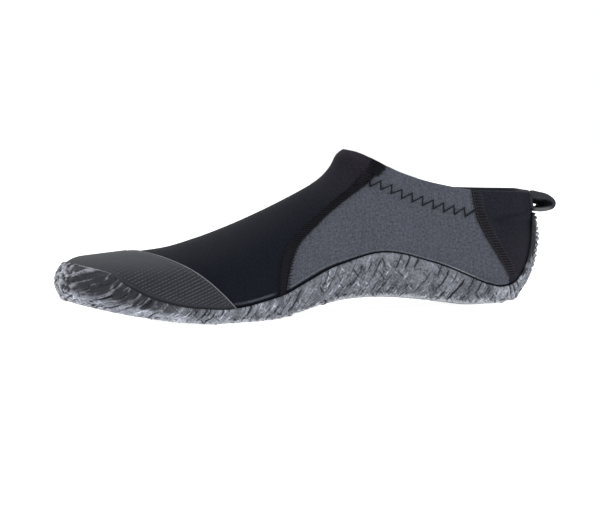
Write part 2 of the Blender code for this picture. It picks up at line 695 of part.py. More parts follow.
def make_toe_cap():
    """Rubber sheet over the toe, between the sole's lip and its own slanting rear edge."""
    fine = np.linspace(0, VAMP_END, 4001)
    closed = np.interp(CAP_RIDGE_X, top_x(fine), fine)
    last = np.interp(CAP_SIDE_X, feather_x(fine), fine)
    over_ridge = np.linspace(0, closed, CAP_STEPS[0] + 1)
    sides = np.linspace(closed, last, CAP_STEPS[1] + 1)
    half = np.concatenate([over_ridge, sides[1:]])
    around = np.concatenate([half[::-1], -half[1:]])
    low = climb_at_height(around, lip_height(around) + CAP_ABOVE_LIP)
    high = np.where(np.abs(around) <= closed, 1.0, climb_at_x(around, cap_edge))
    high = np.maximum(high, low + 0.01)
    climb = low[:, None] + (high - low)[:, None] * np.linspace(0, 1, CAP_ROWS)
    around = np.broadcast_to(around[:, None], climb.shape)
    outer = offset_surface(around, climb, CAP_GAP + CAP_THICKNESS)
    inner = offset_surface(around, climb, CAP_GAP)
    return solid_between("toe_cap", outer, inner, strip_faces(*climb.shape), make_material("toe_cap"))


def locate(lateral, x, z):
    """(around, climb) of the place on a side of the upper that has an x and a z."""
    low, high = np.full(x.shape, NUDGE), np.full(x.shape, 1 - NUDGE)
    for _ in range(24):
        middle = (low + high) / 2
        around = 2 - middle if lateral else middle
        before = surface(around, climb_at_height(around, z))[..., 0] < x
        low, high = np.where(before, middle, low), np.where(before, high, middle)
    return around, climb_at_height(around, z)


def make_seam(seam, material):
    """A stitched band on the dark side of a seam, from the sole's lip to the rim."""
    share = np.linspace(0, 1, SEAM_ROWS)[:, None]
    share = share * (1 + SEAM_CROWDING) - SEAM_CROWDING * share**2
    across = np.linspace(0, 1, SEAM_COLUMNS)[None, :]
    width = seam.width * (SEAM_NARROW + (1 - SEAM_NARROW) * ease(share, 0, 0.4))
    edge_x = smooth_table(SEAM_COURSE, seam.course + "_x", share)
    x = edge_x + width * across
    follow_rim = smooth_table(RIM_LINE, "z", x) - smooth_table(RIM_LINE, "z", edge_x)
    z = smooth_table(SEAM_COURSE, seam.course + "_z", share) + follow_rim * ease(share, 0.75, 1)
    around, climb = locate(seam.lateral, x, z)
    clear = climb_at_height(around, lip_height(around) + SOLE_WALL_LIP)
    climb = np.clip(climb, clear + 0.02 * share, 0.995)
    outer = offset_surface(around, climb, SEAM_GAP + SEAM_THICKNESS)
    inner = offset_surface(around, climb, SEAM_GAP)
    return solid_between(seam.name, outer, inner, strip_faces(*x.shape), material)


def make_insole():
    """Foam insole that lies on the sole's floor inside the upper."""
    around = ring(rib_stations()[::2])
    edge = feather(around) - outward(around) * (WALL + INSOLE_CLEARANCE)
    lower = floor_grid(edge, INSOLE_ROWS, SOLE_FLOOR + GAP)
    upper = lower + np.array([0, 0, INSOLE_THICKNESS])
    return solid_between("insole", upper, lower, ring_faces(*lower.shape[:2]), make_material("insole"))


def loop_path():
    """Closed smooth curve through the pull loop's points: x, z and how far it follows the heel."""
    knots = np.array(PULL_LOOP)
    u = np.arange(LOOP_STEPS) * len(knots) / LOOP_STEPS
    i = u.astype(int)
    f = (u - i)[:, None]
    p = [knots[(i + k) % len(knots)] for k in (-1, 0, 1, 2)]
    return (
        p[1]
        + (p[2] - p[0]) * f / 2
        + (p[0] - 2.5 * p[1] + 2 * p[2] - p[3] / 2) * f**2
        + (1.5 * (p[1] - p[2]) + (p[3] - p[0]) / 2) * f**3
    )


def heel_curve(y, z):
    """x of the upper's outer face at the back of the heel."""
    spread = np.linspace(0.9, 1.1, 121)
    climb = np.linspace(0, 1, 61)
    columns = surface(spread[:, None], climb[None, :])
    level_x = [np.interp(z, column[:, 2], column[:, 0]) for column in columns]
    level_y = [np.interp(z, column[:, 2], column[:, 1]) for column in columns]
    return np.interp(y, level_y, level_x)


def make_pull_loop():
    """Band of tape folded into a loop, with its inner leg sewn along the back of the heel."""
    path = loop_path()
    side_way = np.roll(path, -1, 0)[:, :2] - np.roll(path, 1, 0)[:, :2]
    normal = np.stack([side_way[:, 1], -side_way[:, 0]], -1)
    normal /= np.linalg.norm(normal, axis=-1, keepdims=True)
    ys = np.linspace(-LOOP_WIDTH / 2, LOOP_WIDTH / 2, LOOP_COLUMNS + 1)
    sheets = []
    for distance in (LOOP_THICKNESS / 2, -LOOP_THICKNESS / 2):
        line = path[:, :2] - normal * distance
        sheet = np.empty((len(path), len(ys), 3))
        for k, (x, z) in enumerate(line):
            heel = heel_curve(ys, z)
            bent_x = x + heel.max() + (heel - heel.max()) * path[k, 2]
            sheet[k] = np.stack([bent_x, ys, np.full(len(ys), z)], -1)
        sheets.append(sheet)
    faces = ring_faces(*sheets[0].shape[:2])
    return solid_between("pull_loop", *sheets, faces, make_material("pull_loop"))


def stand_on_origin(pieces):
    """Puts all pieces under one empty, so that the middle of their box stands over the origin."""
    corners = np.array([tuple(vertex.co) for piece in pieces for vertex in piece.data.vertices])
    middle = (corners.min(0) + corners.max(0)) / 2
    bootie = bpy.data.objects.new("bootie", None)
    bootie.location = (-middle[0], -middle[1], -corners[:, 2].min())
    bpy.context.scene.collection.objects.link(bootie)
    for piece in pieces:
        piece.parent = bootie


def main():
    """Builds the bootie's pieces and stands them on the origin."""
    for old in list(bpy.data.objects):
        bpy.data.objects.remove(old)
    seam_material = make_material("seam")
    pieces = [make_outsole(), make_upper(), make_toe_cap(), make_insole(), make_pull_loop()]
    pieces += [make_seam(seam, seam_material) for seam in SEAMS]
    stand_on_origin(pieces)


main()
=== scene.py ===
"""Looks of a low-cut neoprene wetsuit bootie for the right foot.

Lengths are in millimetres in the last's own frame: x is 0 at the back of the heel and falls towards
the toe, the medial side faces -y and z is up. RowFrame turns them into metres in the part's frame.
Two numbers name a place on the upper: around, which is 0 at the toe tip, 1 at the back of the heel
and 2 at the toe tip again, medial side first, and climb, which is 0 at the feather line by the sole
and 1 at the ridge of the vamp or the rim of the collar.
"""

import logging
from abc import ABC, abstractmethod
from collections.abc import Callable
from dataclasses import dataclass
from enum import Enum
from functools import cached_property

import bmesh
import bpy
import numpy as np
from bpy.types import Material, Mesh, Node, NodeTree, Object
from bpy.types import NodeSocket as Socket
from mathutils import Matrix, Vector
from numpy.typing import NDArray

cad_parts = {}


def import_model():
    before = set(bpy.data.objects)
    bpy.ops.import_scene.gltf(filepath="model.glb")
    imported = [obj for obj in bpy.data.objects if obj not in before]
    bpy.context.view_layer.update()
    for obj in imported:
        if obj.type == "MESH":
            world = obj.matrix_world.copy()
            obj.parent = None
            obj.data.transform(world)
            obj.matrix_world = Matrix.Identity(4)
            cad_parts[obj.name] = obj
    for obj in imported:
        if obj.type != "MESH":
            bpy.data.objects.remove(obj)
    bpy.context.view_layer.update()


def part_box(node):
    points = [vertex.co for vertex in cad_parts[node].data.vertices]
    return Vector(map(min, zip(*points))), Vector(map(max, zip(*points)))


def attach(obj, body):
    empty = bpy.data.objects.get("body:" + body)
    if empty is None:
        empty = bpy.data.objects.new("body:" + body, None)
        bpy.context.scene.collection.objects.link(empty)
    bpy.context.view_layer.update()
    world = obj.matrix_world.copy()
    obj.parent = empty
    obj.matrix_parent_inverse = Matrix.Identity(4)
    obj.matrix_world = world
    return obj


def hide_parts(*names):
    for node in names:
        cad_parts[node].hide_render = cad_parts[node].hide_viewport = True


Array = NDArray[np.float64]
Colour = tuple[float, float, float]
Pair = tuple[float, float]
Line = tuple[Array, dict[str, Array]]
Feed = Socket | float | int | bool | tuple | Material

LOG = logging.getLogger("bootie")
BODY = "root"
MM = 0.001
SOCKET_KINDS = {
    "Vector": "NodeSocketVector", "Guide": "NodeSocketGeometry", "Work": "NodeSocketGeometry",
    "Sides": "NodeSocketInt", "Seed": "NodeSocketInt", "Material": "NodeSocketMaterial",
}


class Side(Enum):
    """Sides of the shoe."""

    MEDIAL = "medial"
    LATERAL = "lateral"

    def around(self, along: Array) -> Array:
        """Place round the shoe at a share of the way from toe tip to heel back."""
        return along if self is Side.MEDIAL else 2 - along


class SeamLine(Enum):
    """Seams between the panels of a side."""

    FRONT = "front"
    HEEL = "heel"


SEAM_WIDTHS = {SeamLine.FRONT: 7.0, SeamLine.HEEL: 6.5}


@dataclass(frozen=True)
class Table:
    """Short table with named columns, of which the first is the argument.

    Attributes:
        columns: the columns' names, with spaces between.
        rows: one tuple of numbers for each row, with the argument rising.
    """

    columns: str
    rows: tuple[tuple[float, ...], ...]

    def column(self, name: str) -> Array:
        """All values of one column."""
        return np.array([row[self.columns.split().index(name)] for row in self.rows], float)

    def curve(self, name: str, x: Array) -> Array:
        """Monotone cubic curve through one column.

        Args:
            name: the column's name.
            x: arguments, held inside the table's range.

        Returns:
            The column's value at each argument.
        """
        xs = self.column(self.columns.split()[0])
        ys = self.column(name)
        steps = np.diff(xs)
        slopes = np.diff(ys) / steps
        both = slopes[:-1] + slopes[1:]
        mean = 2 * slopes[:-1] * slopes[1:] / np.where(both == 0, 1, both)
        inner = np.where(slopes[:-1] * slopes[1:] > 0, mean, 0.0)
        tangents = np.concatenate([slopes[:1], inner, slopes[-1:]])
        x = np.clip(x, xs[0], xs[-1])
        i = np.clip(np.searchsorted(xs, x, "right") - 1, 0, len(steps) - 1)
        u = (x - xs[i]) / steps[i]
        return (
            ys[i] * (1 + 2 * u) * (1 - u) ** 2
            + ys[i + 1] * u**2 * (3 - 2 * u)
            + tangents[i] * steps[i] * u * (1 - u) ** 2
            + tangents[i + 1] * steps[i] * u**2 * (u - 1)
        )

    def by_side(self, kind: str, x: Array, lateral: Array) -> Array:
        """Value of the lateral or the medial column of a kind."""
        return np.where(lateral, self.curve("lateral" + kind, x), self.curve("medial" + kind, x))


def part_way(value: Array, start: float, end: float) -> Array:
    """Share of the way from start to end, held between 0 and 1."""
    return np.clip((value - start) / (end - start), 0, 1)


def between(start: float, end: float, share: Array) -> Array:
    """Number at a share of the way from start to end."""
    return start + (end - start) * share


def ease(value: Array, low: float, high: float) -> Array:
    """Smooth step up from 0 at low to 1 at high."""
    u = part_way(value, low, high)
    return u * u * (3 - 2 * u)


def fall(value: Array, low: float, high: float) -> Array:
    """Smooth step down from 1 at low to 0 at high."""
    return 1 - ease(value, low, high)


def bump(distance: Array, width: float) -> Array:
    """Bell curve that is 1 at distance 0 and fades over a width."""
    return np.exp(-((distance / width) ** 2))


def scatter(number: Array, seed: int) -> Array:
    """Share from 0 to 1 that looks random but is the same for the same number and seed."""
    mixed = np.sin(number * 127.1 + seed * 74.7) * 43758.5453
    return mixed - np.floor(mixed)


def noise(u: Array, v: Array, seed: int) -> Array:
    """Smooth lattice noise over a plane.

    Args:
        u: first coordinate, one lattice cell to a unit.
        v: second coordinate.
        seed: number of the pattern.

    Returns:
        Values from -1 to 1, the same on every run.
    """
    u, v = np.broadcast_arrays(u, v)
    cell_u, cell_v = np.floor(u), np.floor(v)
    share_u, share_v = ease(u - cell_u, 0, 1), ease(v - cell_v, 0, 1)

    def corner(a: Array, b: Array) -> Array:
        """Number of one lattice corner."""
        return 2 * scatter(a + b * 2.4543, seed) - 1

    low = corner(cell_u, cell_v) * (1 - share_u) + corner(cell_u + 1, cell_v) * share_u
    high = corner(cell_u, cell_v + 1) * (1 - share_u) + corner(cell_u + 1, cell_v + 1) * share_u
    return low * (1 - share_v) + high * share_v


def unit(vectors: Array) -> Array:
    """Vectors at length 1."""
    return vectors / np.maximum(np.linalg.norm(vectors, axis=-1, keepdims=True), 1e-12)


def rows_length(points: Array) -> Array:
    """Length along each column of a grid, from its first row."""
    steps = np.linalg.norm(np.diff(points, axis=1), axis=-1)
    return np.concatenate([np.zeros((len(points), 1)), np.cumsum(steps, 1)], 1)


def columns_length(line: Array) -> Array:
    """Length along a line of points, from its first."""
    return np.concatenate([[0], np.cumsum(np.linalg.norm(np.diff(line, axis=0), axis=-1))])


def grid_normals(points: Array) -> Array:
    """Outward normals of a grid whose columns close round and whose rows climb."""
    along = np.roll(points, -1, 0) - np.roll(points, 1, 0)
    return unit(np.cross(along, np.gradient(points, axis=1)))


def nearest(points: Array, line: Array) -> Array:
    """Distance from the nearest point of a line.

    Args:
        points: any grid of points, taken in parts to save memory.
        line: points of the line.

    Returns:
        One distance for each point.
    """
    parts = np.array_split(points.reshape(-1, 3), 40)
    near = [np.linalg.norm(part[:, None] - line, axis=-1).min(1) for part in parts]
    return np.concatenate(near).reshape(points.shape[:-1])


def halving(below: Callable[[Array], Array], shape: tuple[int, ...], turns: int) -> Array:
    """Where a test on numbers from 0 to 1 changes.

    Args:
        below: says of each number whether it lies below the change.
        shape: shape of the numbers.
        turns: how often the range is halved.

    Returns:
        One number for each place of the shape.
    """
    low, high = np.zeros(shape), np.ones(shape)
    for _ in range(turns):
        middle = (low + high) / 2
        short = below(middle)
        low, high = np.where(short, middle, low), np.where(short, high, middle)
    return (low + high) / 2


def lifted(plan: Array, z: Array) -> Array:
    """Points over a plan at heights."""
    return np.concatenate([plan, z[..., None]], -1)


def on_sheet(across: Array, along: Array) -> Array:
    """Places on a sheet in its own two coordinates, as vectors with 0 as third number."""
    across, along = np.broadcast_arrays(across, along)
    return np.stack([across, along, np.zeros(across.shape)], -1)


def filled(edge: Array, shares: Array) -> Array:
    """Plan points by column and row, at shares of the way from a closed edge's middle line out to it."""
    spine = ((edge + edge[-np.arange(len(edge)) % len(edge)]) / 2)[:, None]
    return spine + (edge[:, None] - spine) * shares[None, :, None]


def ring(along: Array) -> Array:
    """Closed ring of around values with the same sections on both sides."""
    return np.concatenate([along, 2 - along[-2:0:-1]])


@dataclass
class Last:
    """Shape of the foot that the bootie is drawn over, as functions of around and climb."""

    gap: float = 0.3
    sole_floor: float = 4.5
    plan: Table = Table(
        "x medial lateral medial_flare lateral_flare shoulder",
        (
            (-277, -37.0, 14.0, 2.4, 2.4, 1.00), (-255, -40.0, 26.0, 2.6, 2.5, 0.82),
            (-238, -42.0, 34.5, 3.0, 3.0, 0.70), (-220, -43.8, 40.0, 3.2, 3.0, 0.64),
            (-197, -44.5, 44.2, 3.4, 3.0, 0.62), (-170, -40.5, 46.0, 5.0, 3.0, 0.62),
            (-140, -32.0, 42.5, 8.0, 3.5, 0.62), (-105, -25.5, 37.0, 10.5, 4.0, 0.62),
            (-70, -25.0, 31.5, 8.0, 4.5, 0.62), (-40, -26.5, 28.0, 5.5, 5.0, 0.62),
            (-18, -26.5, 27.5, 13.6, 13.6, 0.62),
        ),
    )
    ridge_line: Table = Table(
        "x z y",
        (
            (-277, 38.8, -9.0), (-264, 39.8, -9.5), (-240, 41.4, -11.0), (-222, 42.8, -12.0),
            (-204, 46.8, -12.0), (-185, 52.6, -11.5), (-166, 59.6, -10.5), (-147, 67.6, -9.0),
            (-133, 74.2, -8.0), (-123, 79.6, -7.2), (-114.5, 85.0, -6.5), (-109, 90.0, -6.0),
            (-100, 97.0, -5.0), (-87, 104.0, -3.0), (-68, 109.0, -1.0), (-45, 111.0, 0.0), (-4, 111.0, 0.0),
        ),
    )
    rim_line: Table = Table(
        "x z",
        ((-114.5, 92.3), (-109, 90.0), (-100, 84.6), (-87, 76.9), (-68, 70.0), (-45, 65.5), (-4, 62.5)),
    )
    lip_line: Table = Table(
        "x medial lateral",
        (
            (-277, 36.4, 36.4), (-268, 33.9, 33.9), (-255, 30.2, 29.5), (-246, 24.0, 22.8),
            (-232, 16.6, 16.0), (-212, 10.7, 11.0), (-190, 8.6, 9.5), (-165, 13.0, 10.5),
            (-148, 20.6, 13.0), (-130, 28.0, 16.5), (-102, 33.3, 19.0), (-70, 25.2, 17.0),
            (-40, 11.6, 11.6),
        ),
    )
    heel_strip: Table = Table(
        "angle z",
        (
            (0, 49.5), (26, 49.0), (33, 43.0), (38, 33.0), (42, 19.0), (47, 12.8), (58, 10.2), (72, 9.5),
            (90, 11.6),
        ),
    )
    seam_course: Table = Table(
        "share front_x front_z heel_x heel_z",
        (
            (0.00, -159.0, 13.0, -26.0, 16.0), (0.20, -157.2, 23.0, -28.2, 19.5),
            (0.40, -151.6, 38.1, -31.5, 24.3), (0.60, -136.0, 53.0, -36.0, 32.6),
            (0.75, -119.0, 65.0, -41.0, 42.0), (0.88, -106.0, 73.3, -44.5, 51.4),
            (1.00, -95.8, 81.8, -46.3, 65.0),
        ),
    )
    toe_tip: Pair = (-277.0, -9.0)
    toe_base_x: float = -220.0
    toe_roundness: float = 2.3
    toe_ridge_x: float = -266.5
    toe_fan: float = 1.1
    heel_base_x: float = -40.0
    heel_back_x: float = -18.0
    heel_roundness: float = 2.2
    rim_front_x: float = -114.5
    rim_widest_x: float = -62.0
    rim_back_x: float = -4.0
    rim_tilt: Pair = (-0.9, 0.9)
    rim_half_width: float = 30.0
    rim_roundness: float = 2.25
    rim_blend_x: float = -72.0
    belly_climb: float = 0.4
    rim_shoulder: float = 1.5
    vamp_rise: Pair = (0.42, 1.0)
    rim_rise: Pair = (0.36, 0.70)
    stand_up_spread: float = 9.5
    stand_up_reach: float = 4.0
    stand_up_climb: Pair = (0.35, 0.8)
    stand_up_x: Pair = (-165.0, -30.0)
    spring: tuple[float, float, float, float] = (-196.0, -282.0, 17.0, 1.5)
    arch: tuple[float, float, float, float] = (-112.0, 54.0, 64.0, 1.5)
    arch_medial: Pair = (-28.0, 8.5)
    arch_lateral: Pair = (36.0, 4.8)
    toe_end: float = 0.28
    vamp_end: float = 0.52
    collar_end: float = 0.70
    waist_end: float = 0.77
    tilt_start: Pair = (0.66, 0.78)
    tilt_end: Pair = (0.92, 1.0)
    nudge: float = 1e-4
    normal_limit: float = 0.98
    cut_turns: int = 30
    climb_turns: int = 24
    locate_turns: int = 14

    def along(self, around: Array) -> tuple[Array, Array]:
        """Share of the way from toe tip to heel back, and whether the place is lateral.

        Args:
            around: place round the shoe.

        Returns:
            Two arrays in the shape of around.
        """
        around = np.mod(around, 2.0)
        lateral = around > 1
        return np.where(lateral, 2 - around, around), lateral

    def feather_x(self, along: Array) -> Array:
        """x of the feather line, eased round the toe and the heel.

        Args:
            along: share of the way from toe tip to heel back.

        Returns:
            One x for each place.
        """
        ends = (self.toe_end, self.vamp_end, self.collar_end, self.waist_end, 1.0)
        shares = [part_way(along, low, high) for low, high in zip((0.0, *ends), ends)]
        toe = np.cos(shares[0] * np.pi / 2) ** (2 / self.toe_roundness)
        turn = np.cos(shares[2] * np.pi / 2) ** (2 / self.rim_roundness)
        heel = np.sin(shares[4] * np.pi / 2) ** (2 / self.heel_roundness)
        return np.select(
            [along < end for end in ends[:-1]],
            [
                between(self.toe_base_x, self.toe_tip[0], toe),
                between(self.toe_base_x, self.rim_front_x, shares[1]),
                between(self.rim_widest_x, self.rim_front_x, turn),
                between(self.rim_widest_x, self.heel_base_x, shares[3]),
            ],
            between(self.heel_base_x, self.heel_back_x, heel),
        )

    def top_x(self, along: Array) -> Array:
        """x of the top line: over the feather line, but drawn in over the toe and out over the heel.

        Args:
            along: share of the way from toe tip to heel back.

        Returns:
            One x for each place.
        """
        x = self.feather_x(along)
        share = part_way(along, 0, self.toe_end) ** self.toe_fan
        toe = between(self.toe_ridge_x, self.toe_base_x, share)
        reach = (self.rim_back_x - self.heel_base_x) / (self.heel_back_x - self.heel_base_x)
        heel = self.heel_base_x + (x - self.heel_base_x) * reach
        return np.select([along < self.toe_end, along < self.waist_end], [toe, x], heel)

    @staticmethod
    def round_end(x: Array, start: float, end: float, roundness: float) -> Array:
        """Width left at x on the way from a start to a rounded end."""
        return (1 - part_way(x, start, end) ** roundness) ** (1 / roundness)

    def feather(self, around: Array) -> Array:
        """Plan point of the feather line.

        Args:
            around: place round the shoe.

        Returns:
            Points with x and y in the last axis.
        """
        along, lateral = self.along(around)
        x = self.feather_x(along)
        y = self.plan.by_side("", x, lateral)
        tip_x, tip_y = self.toe_tip
        toe = tip_y + (y - tip_y) * self.round_end(x, self.toe_base_x, tip_x, self.toe_roundness)
        heel = y * self.round_end(x, self.heel_base_x, self.heel_back_x, self.heel_roundness)
        return np.stack([x, np.where(x < self.toe_base_x, toe, heel)], -1)

    def rim_opening(self, x: Array) -> Array:
        """Half the collar's width at x, 0 in front of the opening.

        Args:
            x: lengthwise places.

        Returns:
            Millimetres for each place.
        """
        front = self.round_end(x, self.rim_widest_x, self.rim_front_x, self.rim_roundness)
        back = self.round_end(x, self.rim_widest_x, self.rim_back_x, self.rim_roundness)
        half = np.where(x < self.rim_widest_x, front, back)
        return self.rim_half_width * np.where(x < self.rim_front_x, 0.0, half)

    def outward(self, around: Array) -> Array:
        """Unit vector in plan that points out of the feather line."""
        way = self.feather(around + self.nudge) - self.feather(around - self.nudge)
        return unit(np.stack([way[..., 1], -way[..., 0]], -1))

    def underside(self, plan: Array) -> Array:
        """Height of the sole's underside at plan points, before its edge is rounded.

        Args:
            plan: points with x and y first in the last axis.

        Returns:
            One height for each point.
        """
        x, y = plan[..., 0], plan[..., 1]
        start, end, climb, power = self.spring
        spring = climb * np.clip((start - x) / (start - end), 0, 2) ** power
        peak, front, back, arch_power = self.arch
        arch = np.clip(1 - ((x - peak) / np.where(x < peak, front, back)) ** 2, 0, 1) ** arch_power
        (medial_y, medial_z), (lateral_y, lateral_z) = self.arch_medial, self.arch_lateral
        return spring + arch * between(medial_z, lateral_z, part_way(y, medial_y, lateral_y))

    @staticmethod
    def weights(climb: Array) -> tuple[Array, Array]:
        """Weights of the two middle control points of a cubic curve."""
        return 3 * (1 - climb) ** 2 * climb, 3 * (1 - climb) * climb**2

    def section(
        self, foot: Array, top: Array, out: Array, flare: Array, shoulder: Array, climb: Array
    ) -> Array:
        """Plan point of a section from the feather line, past its belly, to a top point.

        Args:
            foot: plan points of the feather line.
            top: plan points where the sections end.
            out: unit vectors out of the feather line.
            flare: how far the belly stands out past the feather line.
            shoulder: how far the section leaves its top along out.
            climb: share of the way up.

        Returns:
            One plan point for each climb.
        """
        low, high = self.weights(climb)
        belly_low, belly_high = self.weights(self.belly_climb)
        reach = np.sum((foot - top) * out, -1)
        belly = flare + (belly_high + self.belly_climb**3) * reach - belly_high * shoulder
        share = ((1 - climb) ** 3 + low)[..., None]
        return top + (foot - top) * share + out * (low * belly / belly_low + high * shoulder)[..., None]

    def rise(self, shape: Pair, climb: Array) -> Array:
        """Share of a section's height reached at a climb."""
        low, high = self.weights(climb)
        return low * shape[0] + high * shape[1] + climb**3

    def body(self, around: Array, climb: Array) -> tuple[Array, Array]:
        """Point of the foot inside, up to its ridge or to where the collar cuts it.

        Args:
            around: place round the shoe, which broadcasts with climb.
            climb: share of the way up.

        Returns:
            Plan points and heights.
        """
        along, lateral = self.along(around)
        foot, out, x = self.feather(around), self.outward(around), self.top_x(along)
        ridge = np.stack([x, self.ridge_line.curve("y", x)], -1)
        flare = self.plan.by_side("_flare", foot[..., 0], lateral)
        reach = np.sum((foot - ridge) * out, -1) + flare
        sides = (foot, ridge, out, flare, self.plan.curve("shoulder", foot[..., 0]) * reach)
        opening = self.rim_opening(x)

        def outside(climb: Array) -> Array:
            """Whether a section is still wider than the opening."""
            return np.abs(self.section(*sides, climb)[..., 1] - ridge[..., 1]) > opening

        climb = climb * halving(outside, opening.shape, self.cut_turns)
        plan, base = self.section(*sides, climb), self.base(foot)
        height = self.ridge_line.curve("z", plan[..., 0]) - base
        return plan, base + self.rise(self.vamp_rise, climb) * height

    def base(self, foot: Array) -> Array:
        """Height of the upper's foot over the floor."""
        return self.underside(foot) + self.sole_floor + self.gap

    @cached_property
    def stand_up_line(self) -> tuple[Array, Array, Array]:
        """Plan points along the front of the rim, their lengths and the rim's height over the foot.

        Returns:
            The points, and a length and a height for each.
        """
        half = np.linspace(self.vamp_end, self.collar_end, 61)
        plan, z = self.body(np.concatenate([half[::-1], 2 - half[1:]]), np.float64(1.0))
        step = np.linalg.norm(np.diff(plan, axis=0), axis=-1)
        length = (np.append(step, 0) + np.append(0, step)) / 2
        return plan, length, self.rim_line.curve("z", plan[:, 0]) - z

    def stand_up(self, plan: Array) -> Array:
        """How far the outer face stands over the foot, most along the front of the rim.

        Args:
            plan: plan points of the face.

        Returns:
            Millimetres for each point.
        """
        line, length, height = self.stand_up_line
        raised = np.zeros(plan.shape[:-1])
        near = (plan[..., 0] > self.stand_up_x[0]) & (plan[..., 0] < self.stand_up_x[1])
        away = np.sum((plan[near][:, None, :] - line) ** 2, -1)
        weight = length * np.exp(-away / self.stand_up_reach**2)
        total = weight.sum(-1) + 1e-300
        fall = (self.stand_up_reach / self.stand_up_spread) ** 2
        nearness = (total / (self.stand_up_reach * np.sqrt(np.pi))) ** fall
        raised[near] = (weight * height).sum(-1) / total * nearness
        return raised

    def surface(self, around: Array, climb: Array) -> Array:
        """Point of the upper's outer face.

        Args:
            around: place round the shoe, which broadcasts with climb.
            climb: share of the way up.

        Returns:
            Points with x, y and z in the last axis.
        """
        around, climb = np.asarray(around, float), np.asarray(climb, float)
        plan, z = self.body(around, climb)
        z = z + self.stand_up(plan) * ease(climb, *self.stand_up_climb)
        along, lateral = self.along(around)
        foot, x = self.feather(around), self.top_x(along)
        wide = np.where(lateral, 1, -1) * self.rim_opening(x)
        rim = np.stack([x, self.ridge_line.curve("y", x) + wide], -1)
        flare, base = self.plan.by_side("_flare", foot[..., 0], lateral), self.base(foot)
        rim_plan = self.section(foot, rim, self.outward(around), flare, self.rim_shoulder, climb)
        tilt = np.where(lateral, self.rim_tilt[1], self.rim_tilt[0])
        tilt = tilt * ease(along, *self.tilt_start) * fall(along, *self.tilt_end)
        rim_height = self.rim_line.curve("z", rim_plan[..., 0]) + tilt
        rim_z = base + self.rise(self.rim_rise, climb) * (rim_height - base)
        blend = ease(x, self.rim_front_x, self.rim_blend_x)
        plan = plan + (rim_plan - plan) * blend[..., None]
        return lifted(plan, z + (rim_z - z) * blend)

    def normal(self, around: Array, climb: Array) -> Array:
        """Unit normal of the upper's outer face.

        Args:
            around: place round the shoe.
            climb: share of the way up.

        Returns:
            One vector for each place.
        """
        climb = np.clip(climb, self.nudge, self.normal_limit)
        along_way = self.surface(around + self.nudge, climb) - self.surface(around - self.nudge, climb)
        up_way = self.surface(around, climb + self.nudge) - self.surface(around, climb - self.nudge)
        return unit(np.cross(along_way, up_way))

    def offset(self, around: Array, climb: Array, distance: Array) -> Array:
        """Point at a distance out from the upper's outer face."""
        points = self.surface(around, climb)
        return points + self.normal(around, climb) * np.broadcast_to(distance, points.shape[:-1])[..., None]

    def climb_at_height(self, around: Array, z: Array) -> Array:
        """Climb at which the upper's face reaches a height.

        Args:
            around: place round the shoe.
            z: heights.

        Returns:
            One climb for each place.
        """

        def below(climb: Array) -> Array:
            """Whether the face is still under the height."""
            return self.surface(around, climb)[..., 2] < z

        return halving(below, np.shape(around), self.climb_turns)

    def lip_height(self, around: Array) -> Array:
        """Height of the sole's top edge.

        Args:
            around: place round the shoe.

        Returns:
            One height for each place.
        """
        along, lateral = self.along(around)
        side = self.lip_line.by_side("", self.feather_x(along), lateral)
        angle = 90 * (1 - part_way(along, self.waist_end, 1))
        return np.where(along < self.waist_end, side, self.heel_strip.curve("z", angle))

    def lip_climb(self, around: Array) -> Array:
        """Climb of the sole's top edge."""
        return self.climb_at_height(around, self.lip_height(around))

    def locate(self, side: Side, x: Array, z: Array) -> tuple[Array, Array]:
        """Place on one side of the upper that has an x and a z.

        Args:
            side: which side.
            x: lengthwise places.
            z: heights.

        Returns:
            around and climb of each place.
        """
        shares = np.linspace(0.02, 0.99, 98), np.linspace(0.0, 1.0, 41)
        grid_along, grid_climb = (grid.reshape(-1) for grid in np.meshgrid(*shares, indexing="ij"))

        def seen(along: Array, climb: Array) -> Array:
            """x and z of places on the side."""
            return self.surface(side.around(along), climb)[..., [0, 2]]

        known, asked = seen(grid_along, grid_climb), np.stack([x, z], -1)
        first = np.argmin(np.sum((asked[..., None, :] - known) ** 2, -1), -1)
        along, climb = grid_along[first], grid_climb[first]
        for _ in range(self.locate_turns):
            here = seen(along, climb)
            by_along = seen(along + self.nudge, climb) - here
            by_climb = seen(along, climb + self.nudge) - here
            miss = (asked - here) * self.nudge
            size = by_along[..., 0] * by_climb[..., 1] - by_along[..., 1] * by_climb[..., 0]
            size = np.where(np.abs(size) < 1e-9, 1e-9, size)
            step_along = (miss[..., 0] * by_climb[..., 1] - miss[..., 1] * by_climb[..., 0]) / size
            step_climb = (by_along[..., 0] * miss[..., 1] - by_along[..., 1] * miss[..., 0]) / size
            along = np.clip(along + np.clip(step_along, -0.02, 0.02), 0.01, 0.995)
            climb = np.clip(climb + np.clip(step_climb, -0.1, 0.1), 0.0, 1.0)
        return side.around(along), climb

    def seam_points(self, line: SeamLine, side: Side, count: int) -> tuple[Array, Array]:
        """around and climb of points along a seam, from the sole to the rim.

        Args:
            line: which seam.
            side: which side.
            count: how many points.

        Returns:
            The two as arrays.
        """
        share = np.linspace(0, 1, count)
        x = self.seam_course.curve(line.value + "_x", share)
        z = self.seam_course.curve(line.value + "_z", share)
        return self.locate(side, x, z)


